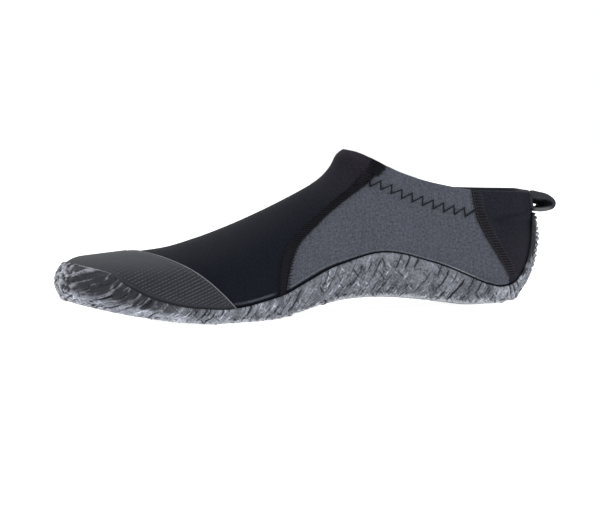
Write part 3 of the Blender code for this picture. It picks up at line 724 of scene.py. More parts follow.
@dataclass(frozen=True)
class RowFrame:
    """Where the last stands in the part's frame.

    Attributes:
        shift: what is added to a place in millimetres.
    """

    shift: tuple[float, float, float]

    @classmethod
    def from_solids(cls, last: Last) -> "RowFrame":
        """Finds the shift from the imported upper's back and the pull loop's middle.

        Args:
            last: the last that the solids are drawn over.

        Returns:
            The frame.
        """
        back = last.surface(np.float64(1.0), np.linspace(0, 1, 201))[:, 0].max()
        loop_low, loop_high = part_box("pull_loop")
        return cls((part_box("upper")[1].x / MM - back, (loop_low.y + loop_high.y) / 2 / MM, 0.0))

    def place(self, points: Array) -> Array:
        """Points in metres in the part's frame."""
        return (np.asarray(points) + np.array(self.shift)) * MM


class MeshBuilder:
    """Collects grids of corners and the faces between them, and makes one mesh object of them."""

    def __init__(self, row: RowFrame) -> None:
        """Starts with no corners.

        Args:
            row: where the last stands in the part's frame.
        """
        self.row, self.count = row, 0
        self.points: list[Array] = []
        self.faces: list[Array] = []
        self.slots: list[Array] = []
        self.values: list[dict[str, Array]] = []

    def corners(self, points: Array, **values: Array) -> Array:
        """Adds corners.

        Args:
            points: places in millimetres.
            **values: attributes of the corners, as numbers or vectors.

        Returns:
            The corners' numbers, in the shape of the points.
        """
        shape = points.shape[:-1]
        index = self.count + np.arange(int(np.prod(shape))).reshape(shape)
        self.count += index.size
        self.points.append(points.reshape(-1, 3))
        self.values.append({name: value.reshape(index.size, -1) for name, value in values.items()})
        return index

    def skin(self, index: Array, wrap: bool, slot: int = 0) -> None:
        """Adds the quads of a grid of corners.

        Args:
            index: the corners' numbers, by column and row.
            wrap: whether the last column joins the first.
            slot: material slot of the faces.
        """
        one = index if wrap else index[:-1]
        two = np.roll(index, -1, 0) if wrap else index[1:]
        quads = np.stack([one[:, :-1], two[:, :-1], two[:, 1:], one[:, 1:]], -1).reshape(-1, 4)
        self.faces.append(quads)
        self.slots.append(np.full(len(quads), slot))

    def grid(self, points: Array, wrap: bool = True, **values: Array) -> Array:
        """Adds a grid of corners and its faces.

        Args:
            points: places in millimetres, by column and row.
            wrap: whether the last column joins the first.
            **values: attributes of the corners.

        Returns:
            The corners' numbers.
        """
        index = self.corners(points, **values)
        self.skin(index, wrap)
        return index

    def close(self, outer: Array, inner: Array, wrap: bool, top: tuple[slice, ...] = (slice(None),)) -> None:
        """Adds the back of a sheet and its edges.

        Args:
            outer: the numbers of its face's corners, by column and row.
            inner: the numbers of its back's corners.
            wrap: whether the last column joins the first.
            top: the columns that end in an edge.
        """
        self.skin(inner[:, ::-1], wrap)
        self.skin(np.stack([inner[:, 0], outer[:, 0]], 1), wrap)
        for columns in top:
            self.skin(np.stack([outer[columns, -1], inner[columns, -1]], 1), wrap)
        if not wrap:
            for end in (0, -1):
                self.skin(np.stack([outer[end], inner[end]], 1), False)

    def build(self, name: str, materials: list[Material], sharp: float = 60.0) -> Object:
        """Makes the object, with corners at one place joined and faces pointing out.

        Args:
            name: the piece's name.
            materials: one for each slot.
            sharp: angle in degrees above which an edge stays sharp.

        Returns:
            The new object, at the origin.
        """
        points = np.concatenate(self.points)
        _, first, index = np.unique(np.round(points, 3), axis=0, return_index=True, return_inverse=True)
        quads = index.reshape(-1)[np.concatenate(self.faces)]
        faces, slots = [], []
        for corners, slot in zip(quads.tolist(), np.concatenate(self.slots).tolist()):
            corners = [one for one, before in zip(corners, corners[-1:] + corners) if one != before]
            if len(corners) > 2 and len(set(corners)) == len(corners):
                faces.append(corners)
                slots.append(slot)
        mesh = bpy.data.meshes.new(name)
        mesh.from_pydata(self.row.place(points[first]).tolist(), [], faces)
        mesh.polygons.foreach_set("material_index", slots)
        for label in sorted({label for values in self.values for label in values}):
            width = next(values[label].shape[1] for values in self.values if label in values)
            pairs = zip(self.values, self.points)
            parts = [values.get(label, np.zeros((len(part), width))) for values, part in pairs]
            carry(mesh, label, np.concatenate(parts)[first])
        shape = bmesh.new()
        shape.from_mesh(mesh)
        bmesh.ops.recalc_face_normals(shape, faces=shape.faces)
        shape.to_mesh(mesh)
        shape.free()
        mesh.shade_smooth()
        mesh.set_sharp_from_angle(angle=np.radians(sharp))
        for material in materials:
            mesh.materials.append(material)
        return add_object(name, mesh)


def carry(mesh: Mesh, label: str, values: Array) -> None:
    """Gives each corner of a mesh a number or a vector, under a label.

    Args:
        mesh: the mesh.
        label: the attribute's name.
        values: one number or vector for each corner.
    """
    values = values.reshape(len(values), -1).astype(np.float32)
    number = values.shape[1] == 1
    attribute = mesh.attributes.new(label, "FLOAT" if number else "FLOAT_VECTOR", "POINT")
    attribute.data.foreach_set("value" if number else "vector", values.reshape(-1))


def add_object(name: str, data: bpy.types.ID | None) -> Object:
    """New object at the origin, linked to the scene.

    Args:
        name: the object's name.
        data: its mesh, camera or light.

    Returns:
        The new object.
    """
    made = bpy.data.objects.new(name, data)
    bpy.context.scene.collection.objects.link(made)
    return made


def settle(piece: Object, slot: str, *nodes: str) -> None:
    """Ties a finished piece to the part and reports it.

    Args:
        piece: the finished object.
        slot: not used.
        *nodes: the solids that it stands for.
    """
    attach(piece, BODY)
    if nodes:
        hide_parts(*nodes)
    piece.data.calc_loop_triangles()
    LOG.info("%s: %d triangles", piece.name, len(piece.data.loop_triangles))


class Graph:
    """Places and links the nodes of one tree."""

    def __init__(self, tree: NodeTree) -> None:
        """Works on a tree."""
        self.tree = tree

    def feed(self, socket: Socket, value: Feed) -> None:
        """Links a socket to another, or sets its value, where a colour has three numbers.

        Args:
            socket: the input to feed.
            value: what feeds it.
        """
        if isinstance(value, Socket):
            self.tree.links.new(value, socket)
        else:
            socket.default_value = (*value, 1.0) if socket.type == "RGBA" else value

    def node(self, kind: str, inputs: dict[str | int, Feed] | None = None, **settings: object) -> Node:
        """Adds a node.

        Args:
            kind: Blender's name of the node type.
            inputs: what feeds its sockets, by name or number.
            **settings: the node's own properties.

        Returns:
            The new node.
        """
        made = self.tree.nodes.new(kind)
        for name, value in settings.items():
            setattr(made, name, value)
        for socket, value in (inputs or {}).items():
            self.feed(made.inputs[socket], value)
        return made

    def result(self, kind: str, *inputs: dict[str | int, Feed], **settings: object) -> Socket:
        """First output of a new node."""
        return self.node(kind, *inputs, **settings).outputs[0]

    def math(self, operation: str, one: Feed, two: Feed = 0.0) -> Socket:
        """Result of a sum on numbers."""
        return self.result("ShaderNodeMath", {0: one, 1: two}, operation=operation)

    def times(self, one: Feed, two: Feed) -> Socket:
        """Product of two numbers."""
        return self.math("MULTIPLY", one, two)

    def plus(self, one: Feed, two: Feed) -> Socket:
        """Sum of two numbers."""
        return self.math("ADD", one, two)

    def minus(self, one: Feed, two: Feed) -> Socket:
        """Difference of two numbers."""
        return self.math("SUBTRACT", one, two)

    def grade(self, value: Feed, slope: float, base: float) -> Socket:
        """A number times a slope, plus a base."""
        return self.plus(self.times(value, slope), base)

    def mixed(self, one: Feed, one_share: float, two: Feed, two_share: float) -> Socket:
        """Sum of two numbers, each times its own share."""
        return self.plus(self.times(one, one_share), self.times(two, two_share))

    def vector(self, operation: str, one: Feed, two: Feed) -> Socket:
        """Result of a sum on vectors."""
        return self.result("ShaderNodeVectorMath", {0: one, 1: two}, operation=operation)

    def scale(self, vector: Feed, factor: Feed) -> Socket:
        """A vector or a colour times a number."""
        return self.result("ShaderNodeVectorMath", {0: vector, "Scale": factor}, operation="SCALE")

    def blend(self, factor: Feed, one: Feed, two: Feed) -> Socket:
        """Colour between two colours."""
        return self.node("ShaderNodeMix", {0: factor, 6: one, 7: two}, data_type="RGBA").outputs[2]

    def step(self, value: Feed, low: Feed, high: Feed) -> Socket:
        """Smooth step up from 0 at low to 1 at high."""
        inputs = {"Value": value, "From Min": low, "From Max": high}
        return self.result("ShaderNodeMapRange", inputs, interpolation_type="SMOOTHSTEP")

    def fall(self, value: Feed, low: Feed, high: Feed) -> Socket:
        """Smooth step down from 1 at low to 0 at high."""
        return self.minus(1.0, self.step(value, low, high))

    def group(self, tree: NodeTree, **inputs: Feed) -> Socket:
        """Result of a shared group.

        Args:
            tree: the group.
            **inputs: what feeds its inputs, named in snake case.

        Returns:
            The group's first output.
        """
        made = self.node("ShaderNodeGroup", node_tree=tree)
        for name, value in inputs.items():
            self.feed(made.inputs[name.replace("_", " ").capitalize()], value)
        return made.outputs[0]


def open_group(
    kind: str, name: str, output: str, *inputs: str
) -> tuple[Graph, dict[str, Socket], Socket]:
    """Starts a node group.

    Args:
        kind: Blender's name of the tree type.
        name: the group's name.
        output: the name of its output.
        *inputs: the names of its inputs, which are numbers where SOCKET_KINDS does not say otherwise.

    Returns:
        The graph, the inputs by name and the output.
    """
    tree = bpy.data.node_groups.new(name, kind)
    for label in (*inputs, output):
        way = "OUTPUT" if label == output else "INPUT"
        tree.interface.new_socket(label, in_out=way, socket_type=SOCKET_KINDS.get(label, "NodeSocketFloat"))
    graph = Graph(tree)
    entry, end = graph.node("NodeGroupInput"), graph.node("NodeGroupOutput")
    return graph, {socket.name: socket for socket in entry.outputs}, end.inputs[0]


class SharedEffects:
    """Shader groups that several finishes use."""

    kind = "ShaderNodeTree"

    def __init__(self) -> None:
        """Builds each group once."""
        self.mottle = self._mottle()
        self.knit = self._knit()
        self.band = self._band()
        self.grain = self._grain()

    def _mottle(self) -> NodeTree:
        """Soft patches of tone: noise of one size, spread about 0.5.

        Returns:
            The group.
        """
        graph, given, tone = open_group(self.kind, "Mottle", "Tone", "Vector", "Scale", "Spread")
        inputs = {"Vector": given["Vector"], "Scale": given["Scale"], "Detail": 4.0, "Roughness": 0.6}
        cloud = graph.result("ShaderNodeTexNoise", inputs)
        graph.feed(tone, graph.plus(graph.times(graph.minus(cloud, 0.5), given["Spread"]), 0.5))
        return graph.tree

    def _knit(self) -> NodeTree:
        """Jersey knit: wales that run up the panel, crossed by courses, as a height from 0 to 1.

        Returns:
            The group.
        """
        graph, given, height = open_group(self.kind, "Jersey knit", "Height", "Vector", "Wale", "Course")
        parts = graph.node("ShaderNodeSeparateXYZ", {0: given["Vector"]}).outputs
        across, up = (
            graph.times(graph.math("DIVIDE", part, given[size]), 2 * np.pi)
            for part, size in zip(parts, ("Wale", "Course"))
        )
        wave = graph.math("SINE", across)
        loop = graph.math("SINE", graph.plus(up, graph.times(wave, 1.4)))
        graph.feed(height, graph.plus(graph.mixed(wave, 0.3, loop, 0.2), 0.5))
        return graph.tree

    def _band(self) -> NodeTree:
        """Mask of a band about a place on a distance scale, with soft edges.

        Returns:
            The group.
        """
        graph, given, mask = open_group(self.kind, "Band", "Mask", "Distance", "Centre", "Half width", "Soft")
        away = graph.math("ABSOLUTE", graph.minus(given["Distance"], given["Centre"]))
        inner = graph.minus(given["Half width"], given["Soft"])
        outer = graph.plus(given["Half width"], given["Soft"])
        graph.feed(mask, graph.fall(away, inner, outer))
        return graph.tree

    def _grain(self) -> NodeTree:
        """Rubber grain: fine pits over small lumps, as a height from 0 to 1.

        Returns:
            The group.
        """
        graph, given, height = open_group(self.kind, "Rubber grain", "Height", "Vector", "Scale")
        fine = {"Vector": given["Vector"], "Scale": given["Scale"]}
        coarse = {"Vector": given["Vector"], "Scale": graph.times(given["Scale"], 0.45), "Detail": 3.0}
        pits, lumps = graph.result("ShaderNodeTexVoronoi", fine), graph.result("ShaderNodeTexNoise", coarse)
        graph.feed(height, graph.mixed(pits, 0.5, lumps, 0.5))
        return graph.tree


class Paint(Graph):
    """Graph of a new material, with its shader and the ends that all finishes share."""

    def __init__(self, name: str, roughness: float, specular: float) -> None:
        """Makes the material and sets its shader's plain values.

        Args:
            name: the material's name.
            roughness: its mean roughness.
            specular: its specular level.
        """
        self.material = bpy.data.materials.new(name)
        self.material.use_nodes = True
        super().__init__(self.material.node_tree)
        self.roughness = roughness
        self.sockets = self.tree.nodes["Principled BSDF"].inputs
        self.feed(self.sockets["Roughness"], roughness)
        self.feed(self.sockets["Specular IOR Level"], specular)

    def number(self, name: str) -> Socket:
        """Number that the piece's corners carry."""
        return self.node("ShaderNodeAttribute", attribute_name=name).outputs["Fac"]

    def place(self, name: str) -> Socket:
        """Vector that the piece's corners carry."""
        return self.node("ShaderNodeAttribute", attribute_name=name).outputs["Vector"]

    def object_place(self) -> Socket:
        """Place in the piece's own coordinates."""
        return self.node("ShaderNodeTexCoord").outputs["Object"]

    def strip(self, effects: SharedEffects, distance: Feed, band: tuple[float, float, float]) -> Socket:
        """Mask of a band, given by its centre, half width and softness in millimetres."""
        return self.group(effects.band, distance=distance, centre=band[0], half_width=band[1], soft=band[2])

    def finish(
        self, colour: Feed, tone: Feed, spread: float, height: Feed, depth: float, strength: float = 1.0
    ) -> Material:
        """Feeds the shader.

        Args:
            colour: the surface's colour.
            tone: what its roughness changes with.
            spread: how far the roughness spreads about its mean as the tone goes from 0 to 1.
            height: the surface's relief.
            depth: millimetres that a height of 1 stands for.
            strength: how strongly the relief shows.

        Returns:
            The finished material.
        """
        self.feed(self.sockets["Base Color"], colour)
        self.feed(self.sockets["Roughness"], self.grade(tone, spread, self.roughness - spread / 2))
        relief = {"Height": height, "Distance": depth * MM, "Strength": strength}
        self.feed(self.sockets["Normal"], self.result("ShaderNodeBump", relief))
        return self.material


class Finish(ABC):
    """One finish of the bootie, which builds its own material."""

    @abstractmethod
    def material(self, effects: SharedEffects) -> Material:
        """Builds the material from the shared groups."""


@dataclass(frozen=True)
class NeopreneFinish(Finish):
    """Jersey-faced neoprene, black with a grey quarter on each side."""

    black: Colour = (0.0044, 0.0054, 0.0094)
    warm: Colour = (0.0125, 0.0105, 0.0160)
    # lighter black of the heel panel; its share drops along the folds, which paints shade in them
    faded: Colour = (0.0105, 0.0112, 0.0165)
    grey: Colour = (0.0560, 0.0605, 0.0750)
    lip_shadow: Colour = (0.0040, 0.0046, 0.0070)
    # painted highlight: a thin bright line on the grey quarter just above the sole's lip
    glue_line: Colour = (0.26, 0.27, 0.29)
    tape: Colour = (0.055, 0.060, 0.073)
    glue_band: tuple[float, float, float] = (1.75, 0.22, 0.2)
    tape_band: tuple[float, float, float] = (2.6, 0.75, 0.4)
    seam_band: tuple[float, float, float] = (0.0, 0.35, 0.3)
    seam_edge: Pair = (-0.15, 0.15)
    lip_fade: Pair = (0.8, 1.5)
    roughness: float = 0.62
    specular: float = 0.05
    wale: float = 0.9
    course: float = 0.7

    def material(self, effects: SharedEffects) -> Material:
        """Material that reads the weave, the distances to the seams and the lip, and the tones.

        Args:
            effects: the shared groups.

        Returns:
            The finished material.
        """
        paint = Paint("neoprene", self.roughness, self.specular)
        front, heel, above = (paint.number(name) for name in ("front", "heel", "above_lip"))
        weave = paint.place("weave")
        cloud = paint.group(effects.mottle, vector=paint.object_place(), scale=38.0, spread=0.5)
        streaks = paint.result("ShaderNodeMapping", {"Vector": weave, "Scale": (1.0, 0.12, 1.0)})
        fibre = paint.group(effects.mottle, vector=streaks, scale=0.55, spread=2.4)
        speck = paint.group(effects.mottle, vector=weave, scale=0.8, spread=2.4)
        tone = paint.mixed(paint.mixed(fibre, 0.22, speck, 0.78), 0.75, cloud, 0.25)
        # Heel panel's lighter black, with painted shade along the folds under the pull loop
        colour = paint.blend(paint.number("faded"), self.black, self.faded)
        colour = paint.blend(paint.number("warm"), colour, self.warm)
        quarter = paint.times(paint.step(front, *self.seam_edge), paint.fall(heel, *self.seam_edge))
        colour = paint.blend(quarter, colour, self.grey)
        shaded = paint.math("DIVIDE", above, paint.number("shade"))
        # Painted highlight: a thin bright line just above the lip, spaced with the painted lip shadow
        glue = paint.times(paint.strip(effects, shaded, self.glue_band), paint.number("glue"))
        colour = paint.blend(glue, colour, self.glue_line)
        tape = paint.times(paint.strip(effects, above, self.tape_band), paint.number("tape"))
        colour = paint.blend(tape, colour, self.tape)
        colour = paint.blend(paint.fall(shaded, *self.lip_fade), colour, self.lip_shadow)
        colour = paint.scale(colour, paint.grade(tone, 1.5, 0.25))
        knit = paint.group(effects.knit, vector=weave, wale=self.wale, course=self.course)
        height = paint.mixed(knit, 0.5, speck, 0.6)
        for line in (front, heel):
            height = paint.minus(height, paint.times(paint.strip(effects, line, self.seam_band), 2.0))
        return paint.finish(colour, speck, 0.12, height, 0.16, 0.8)


@dataclass(frozen=True)
class SoleFinish(Finish):
    """Moulded grey rubber with fine light and dark fibres, painted shade in its grooves and hollows, painted
    highlights on its crests and painted light on its bottom edge.
    """

    rubber: Colour = (0.116, 0.124, 0.1435)
    # painted shade in the grooves, pits and hollows of the relief
    groove_shade: Colour = (0.013, 0.014, 0.019)
    # painted highlight on the crests: vein ridges, knobs, lip edges and rib tops
    vein: Colour = (0.48, 0.49, 0.53)
    # painted light along the bottom edge, as lit from the pale floor
    bottom_edge_light: Colour = (0.50, 0.52, 0.56)
    counter_turn: float = -0.7
    slim: float = 0.17
    fibre_scale: float = 0.62
    fibre_spread: float = 4.2
    fibre_edge: float = 0.45
    roughness: float = 0.66
    specular: float = 0.25

    def fibres(
        self, paint: Paint, effects: SharedEffects, place: Socket, turn: float, shift: float, low: float
    ) -> Socket:
        """Mask of crisp fibres.

        Args:
            paint: the material's graph.
            effects: the shared groups.
            place: coordinates in millimetres, across and along.
            turn: angle that the fibres are turned by.
            shift: moves the pattern, so that two masks differ.
            low: tone above which a fibre shows.

        Returns:
            0 between the fibres and 1 on them.
        """
        inputs = {"Vector": place, "Location": (shift, shift / 3, 0.0), "Rotation": (0.0, 0.0, turn)}
        turned = paint.result("ShaderNodeMapping", inputs)
        drawn = paint.result("ShaderNodeMapping", {"Vector": turned, "Scale": (1.0, self.slim, 1.0)})
        tone = paint.group(effects.mottle, vector=drawn, scale=self.fibre_scale, spread=self.fibre_spread)
        return paint.step(tone, low, low + self.fibre_edge)

    def material(self, effects: SharedEffects) -> Material:
        """Material that reads the relief, its strands and the height over the bottom edge.

        Args:
            effects: the shared groups.

        Returns:
            The finished material.
        """
        paint = Paint("sole_rubber", self.roughness, self.specular)
        hollow, drop, busy = (paint.number(name) for name in ("hollow", "drop", "busy"))
        flow, wall = paint.place("flow"), paint.place("wall")
        speck = paint.group(effects.mottle, vector=wall, scale=0.8, spread=4.0)
        light = self.fibres(paint, effects, flow, 0.0, 3.0, 0.66)
        light_counter = paint.times(self.fibres(paint, effects, wall, self.counter_turn, 17.0, 0.8), 0.8)
        dark = self.fibres(paint, effects, flow, 0.0, 31.0, 0.74)
        dark_counter = self.fibres(paint, effects, wall, self.counter_turn, 47.0, 0.88)
        light = paint.times(paint.math("MAXIMUM", light, light_counter), busy)
        dark = paint.times(paint.math("MAXIMUM", dark, dark_counter), busy)
        fibre = paint.minus(light, dark)
        gain = paint.times(paint.grade(speck, 0.6, 0.7), paint.grade(light, 1.5, 1.0))
        gain = paint.times(gain, paint.minus(1.0, paint.times(dark, 0.66)))
        gain = paint.math("MAXIMUM", paint.times(gain, paint.number("tone")), 0.1)
        colour = paint.scale(self.rubber, gain)
        # Painted highlight on the crests of the relief
        crest = paint.times(paint.number("crest"), paint.step(speck, -0.4, 0.6))
        colour = paint.blend(paint.times(crest, 0.8), colour, self.vein)
        # Painted light along the bottom edge, made ragged by the fibres and the speck
        lift = paint.minus(drop, paint.times(fibre, 2.0))
        lift = paint.minus(lift, paint.times(paint.minus(speck, 0.5), 2.4))
        edge = paint.times(paint.fall(lift, -3.3, 0.3), paint.step(drop, -7.5, -4.0))
        colour = paint.blend(paint.times(edge, 0.8), colour, self.bottom_edge_light)
        # Painted shade in the grooves and hollows
        colour = paint.blend(paint.times(paint.step(hollow, 0.1, 0.85), 0.93), colour, self.groove_shade)
        height = paint.mixed(fibre, 0.6, speck, 0.5)
        return paint.finish(colour, paint.step(speck, 0.0, 1.0), 0.2, height, 0.5, 0.9)


@dataclass(frozen=True)
class CapFinish(Finish):
    """Dark rubber sheet, in shadow where it dips behind the sole's lip and between its ribs."""

    colour: Colour = (0.0145, 0.0160, 0.0215)
    light: Colour = (0.0250, 0.0270, 0.0345)
    shadow: Colour = (0.0035, 0.004, 0.006)
    roughness: float = 0.58
    specular: float = 0.2

    def material(self, effects: SharedEffects) -> Material:
        """Material that reads the height over the sole's lip and how ribbed the sheet is.

        Args:
            effects: the shared groups.

        Returns:
            The finished material.
        """
        paint = Paint("cap_rubber", self.roughness, self.specular)
        place = paint.object_place()
        cloud = paint.group(effects.mottle, vector=place, scale=260.0, spread=1.4)
        grain = paint.group(effects.grain, vector=place, scale=800.0)
        colour = paint.blend(paint.step(cloud, 0.1, 0.9), self.colour, self.light)
        behind_lip = paint.fall(paint.number("above_lip"), 1.0, 2.4)
        dark = paint.math("MAXIMUM", behind_lip, paint.times(paint.number("ribbed"), 0.5))
        return paint.finish(paint.blend(dark, colour, self.shadow), cloud, 0.16, grain, 0.12, 0.7)


@dataclass(frozen=True)
class SheetFinish(Finish):
    """Plain rubber or cloth sheet with a mottled tone and a grain."""

    name: str
    colour: Colour
    light: Colour
    roughness: float
    specular: float = 0.3
    grain_scale: float = 700.0
    grain_depth: float = 0.12

    def material(self, effects: SharedEffects) -> Material:
        """Material with the finish's own name.

        Args:
            effects: the shared groups.

        Returns:
            The finished material.
        """
        paint = Paint(self.name, self.roughness, self.specular)
        place = paint.object_place()
        cloud = paint.group(effects.mottle, vector=place, scale=120.0, spread=1.2)
        grain = paint.group(effects.grain, vector=place, scale=self.grain_scale)
        colour = paint.blend(paint.step(cloud, 0.1, 0.9), self.colour, self.light)
        return paint.finish(colour, cloud, 0.16, grain, self.grain_depth, 0.7)


@dataclass(frozen=True)
class WovenFinish(Finish):
    """Woven tape or knitted lining, with its weave along the piece's own coordinates."""

    name: str
    colour: Colour
    light: Colour
    roughness: float
    wale: float
    course: float
    depth: float
    specular: float = 0.12
    # painted light on the pull loop's lower run
    worn: Colour = (0.085, 0.088, 0.092)

    def material(self, effects: SharedEffects) -> Material:
        """Material that reads the weave's coordinates and where light is painted on its lower run.

        Args:
            effects: the shared groups.

        Returns:
            The finished material.
        """
        paint = Paint(self.name, self.roughness, self.specular)
        weave = paint.place("weave")
        knit = paint.group(effects.knit, vector=weave, wale=self.wale, course=self.course)
        cloud = paint.group(effects.mottle, vector=weave, scale=0.6, spread=1.0)
        colour = paint.blend(paint.mixed(knit, 0.6, cloud, 0.4), self.colour, self.light)
        colour = paint.blend(paint.number("worn"), colour, self.worn)
        return paint.finish(colour, cloud, 0.2, knit, self.depth)


class Finishes:
    """All materials of the bootie, built once."""

    def __init__(self) -> None:
        """Builds the shared groups and each finish."""
        self.effects = SharedEffects()
        self.neoprene, self.sole, self.cap = self.made(NeopreneFinish(), SoleFinish(), CapFinish())
        self.rib, self.bead, self.thread, self.foam = self.made(
            SheetFinish("rib_rubber", (0.032, 0.035, 0.044), (0.058, 0.062, 0.076), 0.55),
            SheetFinish("bead_rubber", (0.085, 0.090, 0.105), (0.14, 0.145, 0.165), 0.5),
            SheetFinish("thread", (0.004, 0.004, 0.006), (0.008, 0.008, 0.011), 0.7, 0.1),
            SheetFinish("insole_cloth", (0.012, 0.012, 0.015), (0.022, 0.022, 0.027), 0.85, 0.1),
        )
        stitches = self.made(
            SheetFinish("front_stitch", (0.0045, 0.0042, 0.0068), (0.0092, 0.0078, 0.0118), 0.65, 0.08),
            SheetFinish("heel_stitch", (0.010, 0.009, 0.0125), (0.026, 0.023, 0.030), 0.6, 0.15),
        )
        self.stitch = dict(zip(SeamLine, stitches))
        self.lining, self.tape, self.band = self.made(
            WovenFinish("lining", (0.012, 0.013, 0.017), (0.030, 0.032, 0.039), 0.8, 1.0, 0.8, 0.12),
            WovenFinish("tape", (0.011, 0.0115, 0.0145), (0.038, 0.0395, 0.046), 0.7, 1.3, 1.1, 0.22),
            WovenFinish("seam_band", (0.0045, 0.0045, 0.0065), (0.010, 0.009, 0.012), 0.75, 0.9, 1.2, 0.15),
        )

    def made(self, *finishes: Finish) -> list[Material]:
        """Materials of some finishes."""
        return [finish.material(self.effects) for finish in finishes]


class ThreadWork:
    """Geometry Nodes trees that lay cords, ladder stitches and zigzags along guide lines."""

    def __init__(self, row: RowFrame) -> None:
        """Builds each tree once.

        Args:
            row: where the last stands in the part's frame.
        """
        self.row = row
        self.cord = self._cord()
        self.ladder = self._ladder()
        self.zigzag = self._zigzag()

    @staticmethod
    def _open(name: str, *inputs: str) -> tuple[Graph, dict[str, Socket], Socket, Socket]:
        """Starts a tree, and returns its graph, its inputs by name, its output and its guide as a curve."""
        graph, given, end = open_group("GeometryNodeTree", name, "Work", "Guide", *inputs, "Material")
        return graph, given, end, graph.result("GeometryNodeMeshToCurve", {"Mesh": given["Guide"]})

    @staticmethod
    def _close(graph: Graph, work: Socket, material: Socket, end: Socket) -> NodeTree:
        """Ends a tree in real, smooth faces with a material.

        Args:
            graph: the tree's graph.
            work: what the tree makes.
            material: the material's socket.
            end: the tree's output.

        Returns:
            The tree.
        """
        real = graph.result("GeometryNodeRealizeInstances", {"Geometry": work})
        smooth = graph.result("GeometryNodeSetShadeSmooth", {"Geometry": real, "Shade Smooth": True})
        graph.feed(end, graph.result("GeometryNodeSetMaterial", {"Geometry": smooth, "Material": material}))
        return graph.tree

    @staticmethod
    def _named(graph: Graph, name: str, kind: str = "FLOAT_VECTOR") -> Socket:
        """Attribute that the guide's points carry."""
        return graph.result("GeometryNodeInputNamedAttribute", {"Name": name}, data_type=kind)

    @staticmethod
    def _spaced(graph: Graph, curve: Socket, length: Socket) -> Socket:
        """Curve with points at a spacing."""
        return graph.result("GeometryNodeResampleCurve", {"Curve": curve, "Length": length}, mode="LENGTH")

    @staticmethod
    def _tube(graph: Graph, curve: Socket, radius: Feed, sides: Feed, swell: Feed = 1.0) -> Socket:
        """Closed tube along a curve.

        Args:
            graph: the tree's graph.
            curve: the tube's middle line.
            radius: the tube's radius.
            sides: how many sides it has.
            swell: how thick it is along the curve.

        Returns:
            The tube's mesh.
        """
        ring = graph.result("GeometryNodeCurvePrimitiveCircle", {"Resolution": sides, "Radius": radius})
        inputs = {"Curve": curve, "Profile Curve": ring, "Scale": swell, "Fill Caps": True}
        return graph.result("GeometryNodeCurveToMesh", inputs)

    def _cord(self) -> NodeTree:
        """A cord along each guide line, as thick as its swell says.

        Returns:
            The tree.
        """
        graph, given, end, curve = self._open("Cord along a line", "Radius", "Sides")
        swell = self._named(graph, "swell", "FLOAT")
        tube = self._tube(graph, curve, given["Radius"], given["Sides"], swell)
        return self._close(graph, tube, given["Material"], end)

    def _ladder(self) -> NodeTree:
        """Short threads laid across a guide line at a pitch, bowed over the cloth.

        Returns:
            The tree.
        """
        sizes = ("Pitch", "Length", "Radius", "Bow", "Seed")
        graph, given, end, curve = self._open("Ladder stitches", *sizes)
        spaced = self._spaced(graph, curve, given["Pitch"])
        half = graph.times(given["Length"], 0.5)
        places = ({0: graph.times(half, -1.0)}, {2: given["Bow"]}, {0: half})
        start, top, stop = (graph.result("ShaderNodeCombineXYZ", place) for place in places)
        bow = {"Resolution": 5, "Start": start, "Middle": top, "End": stop}
        arc = graph.result("GeometryNodeCurveQuadraticBezier", bow)
        thread = self._tube(graph, arc, given["Radius"], 5)
        align = "FunctionNodeAlignRotationToVector"
        turn = graph.result(align, {"Vector": self._named(graph, "across")}, axis="X")
        upright = {"Rotation": turn, "Vector": self._named(graph, "out")}
        turn = graph.result(align, upright, axis="Z", pivot_axis="X")
        limits = {2: 0.86, 3: 1.1, "Seed": given["Seed"]}
        vary = graph.node("FunctionNodeRandomValue", limits, data_type="FLOAT").outputs[1]
        size = graph.result("ShaderNodeCombineXYZ", {0: vary, 1: 1.0, 2: 1.0})
        laying = {"Points": spaced, "Instance": thread, "Rotation": turn, "Scale": size}
        laid = graph.result("GeometryNodeInstanceOnPoints", laying)
        return self._close(graph, laid, given["Material"], end)

    def _zigzag(self) -> NodeTree:
        """One thread that swings from side to side of a guide line, with one stroke steeper.

        Returns:
            The tree.
        """
        graph, given, end, curve = self._open("Zigzag stitch", "Pitch", "Swing", "Lean", "Radius")
        spaced = self._spaced(graph, curve, graph.times(given["Pitch"], 0.5))
        odd = graph.math("MODULO", graph.result("GeometryNodeInputIndex"), 2.0)
        swing = graph.times(graph.minus(1.0, graph.times(odd, 2.0)), given["Swing"])
        aside = graph.scale(self._named(graph, "across"), swing)
        lean = graph.times(odd, graph.times(given["Lean"], -1.0))
        along = graph.scale(graph.result("GeometryNodeInputTangent"), lean)
        shift = {"Geometry": spaced, "Offset": graph.vector("ADD", aside, along)}
        moved = graph.result("GeometryNodeSetPosition", shift)
        return self._close(graph, self._tube(graph, moved, given["Radius"], 6), given["Material"], end)

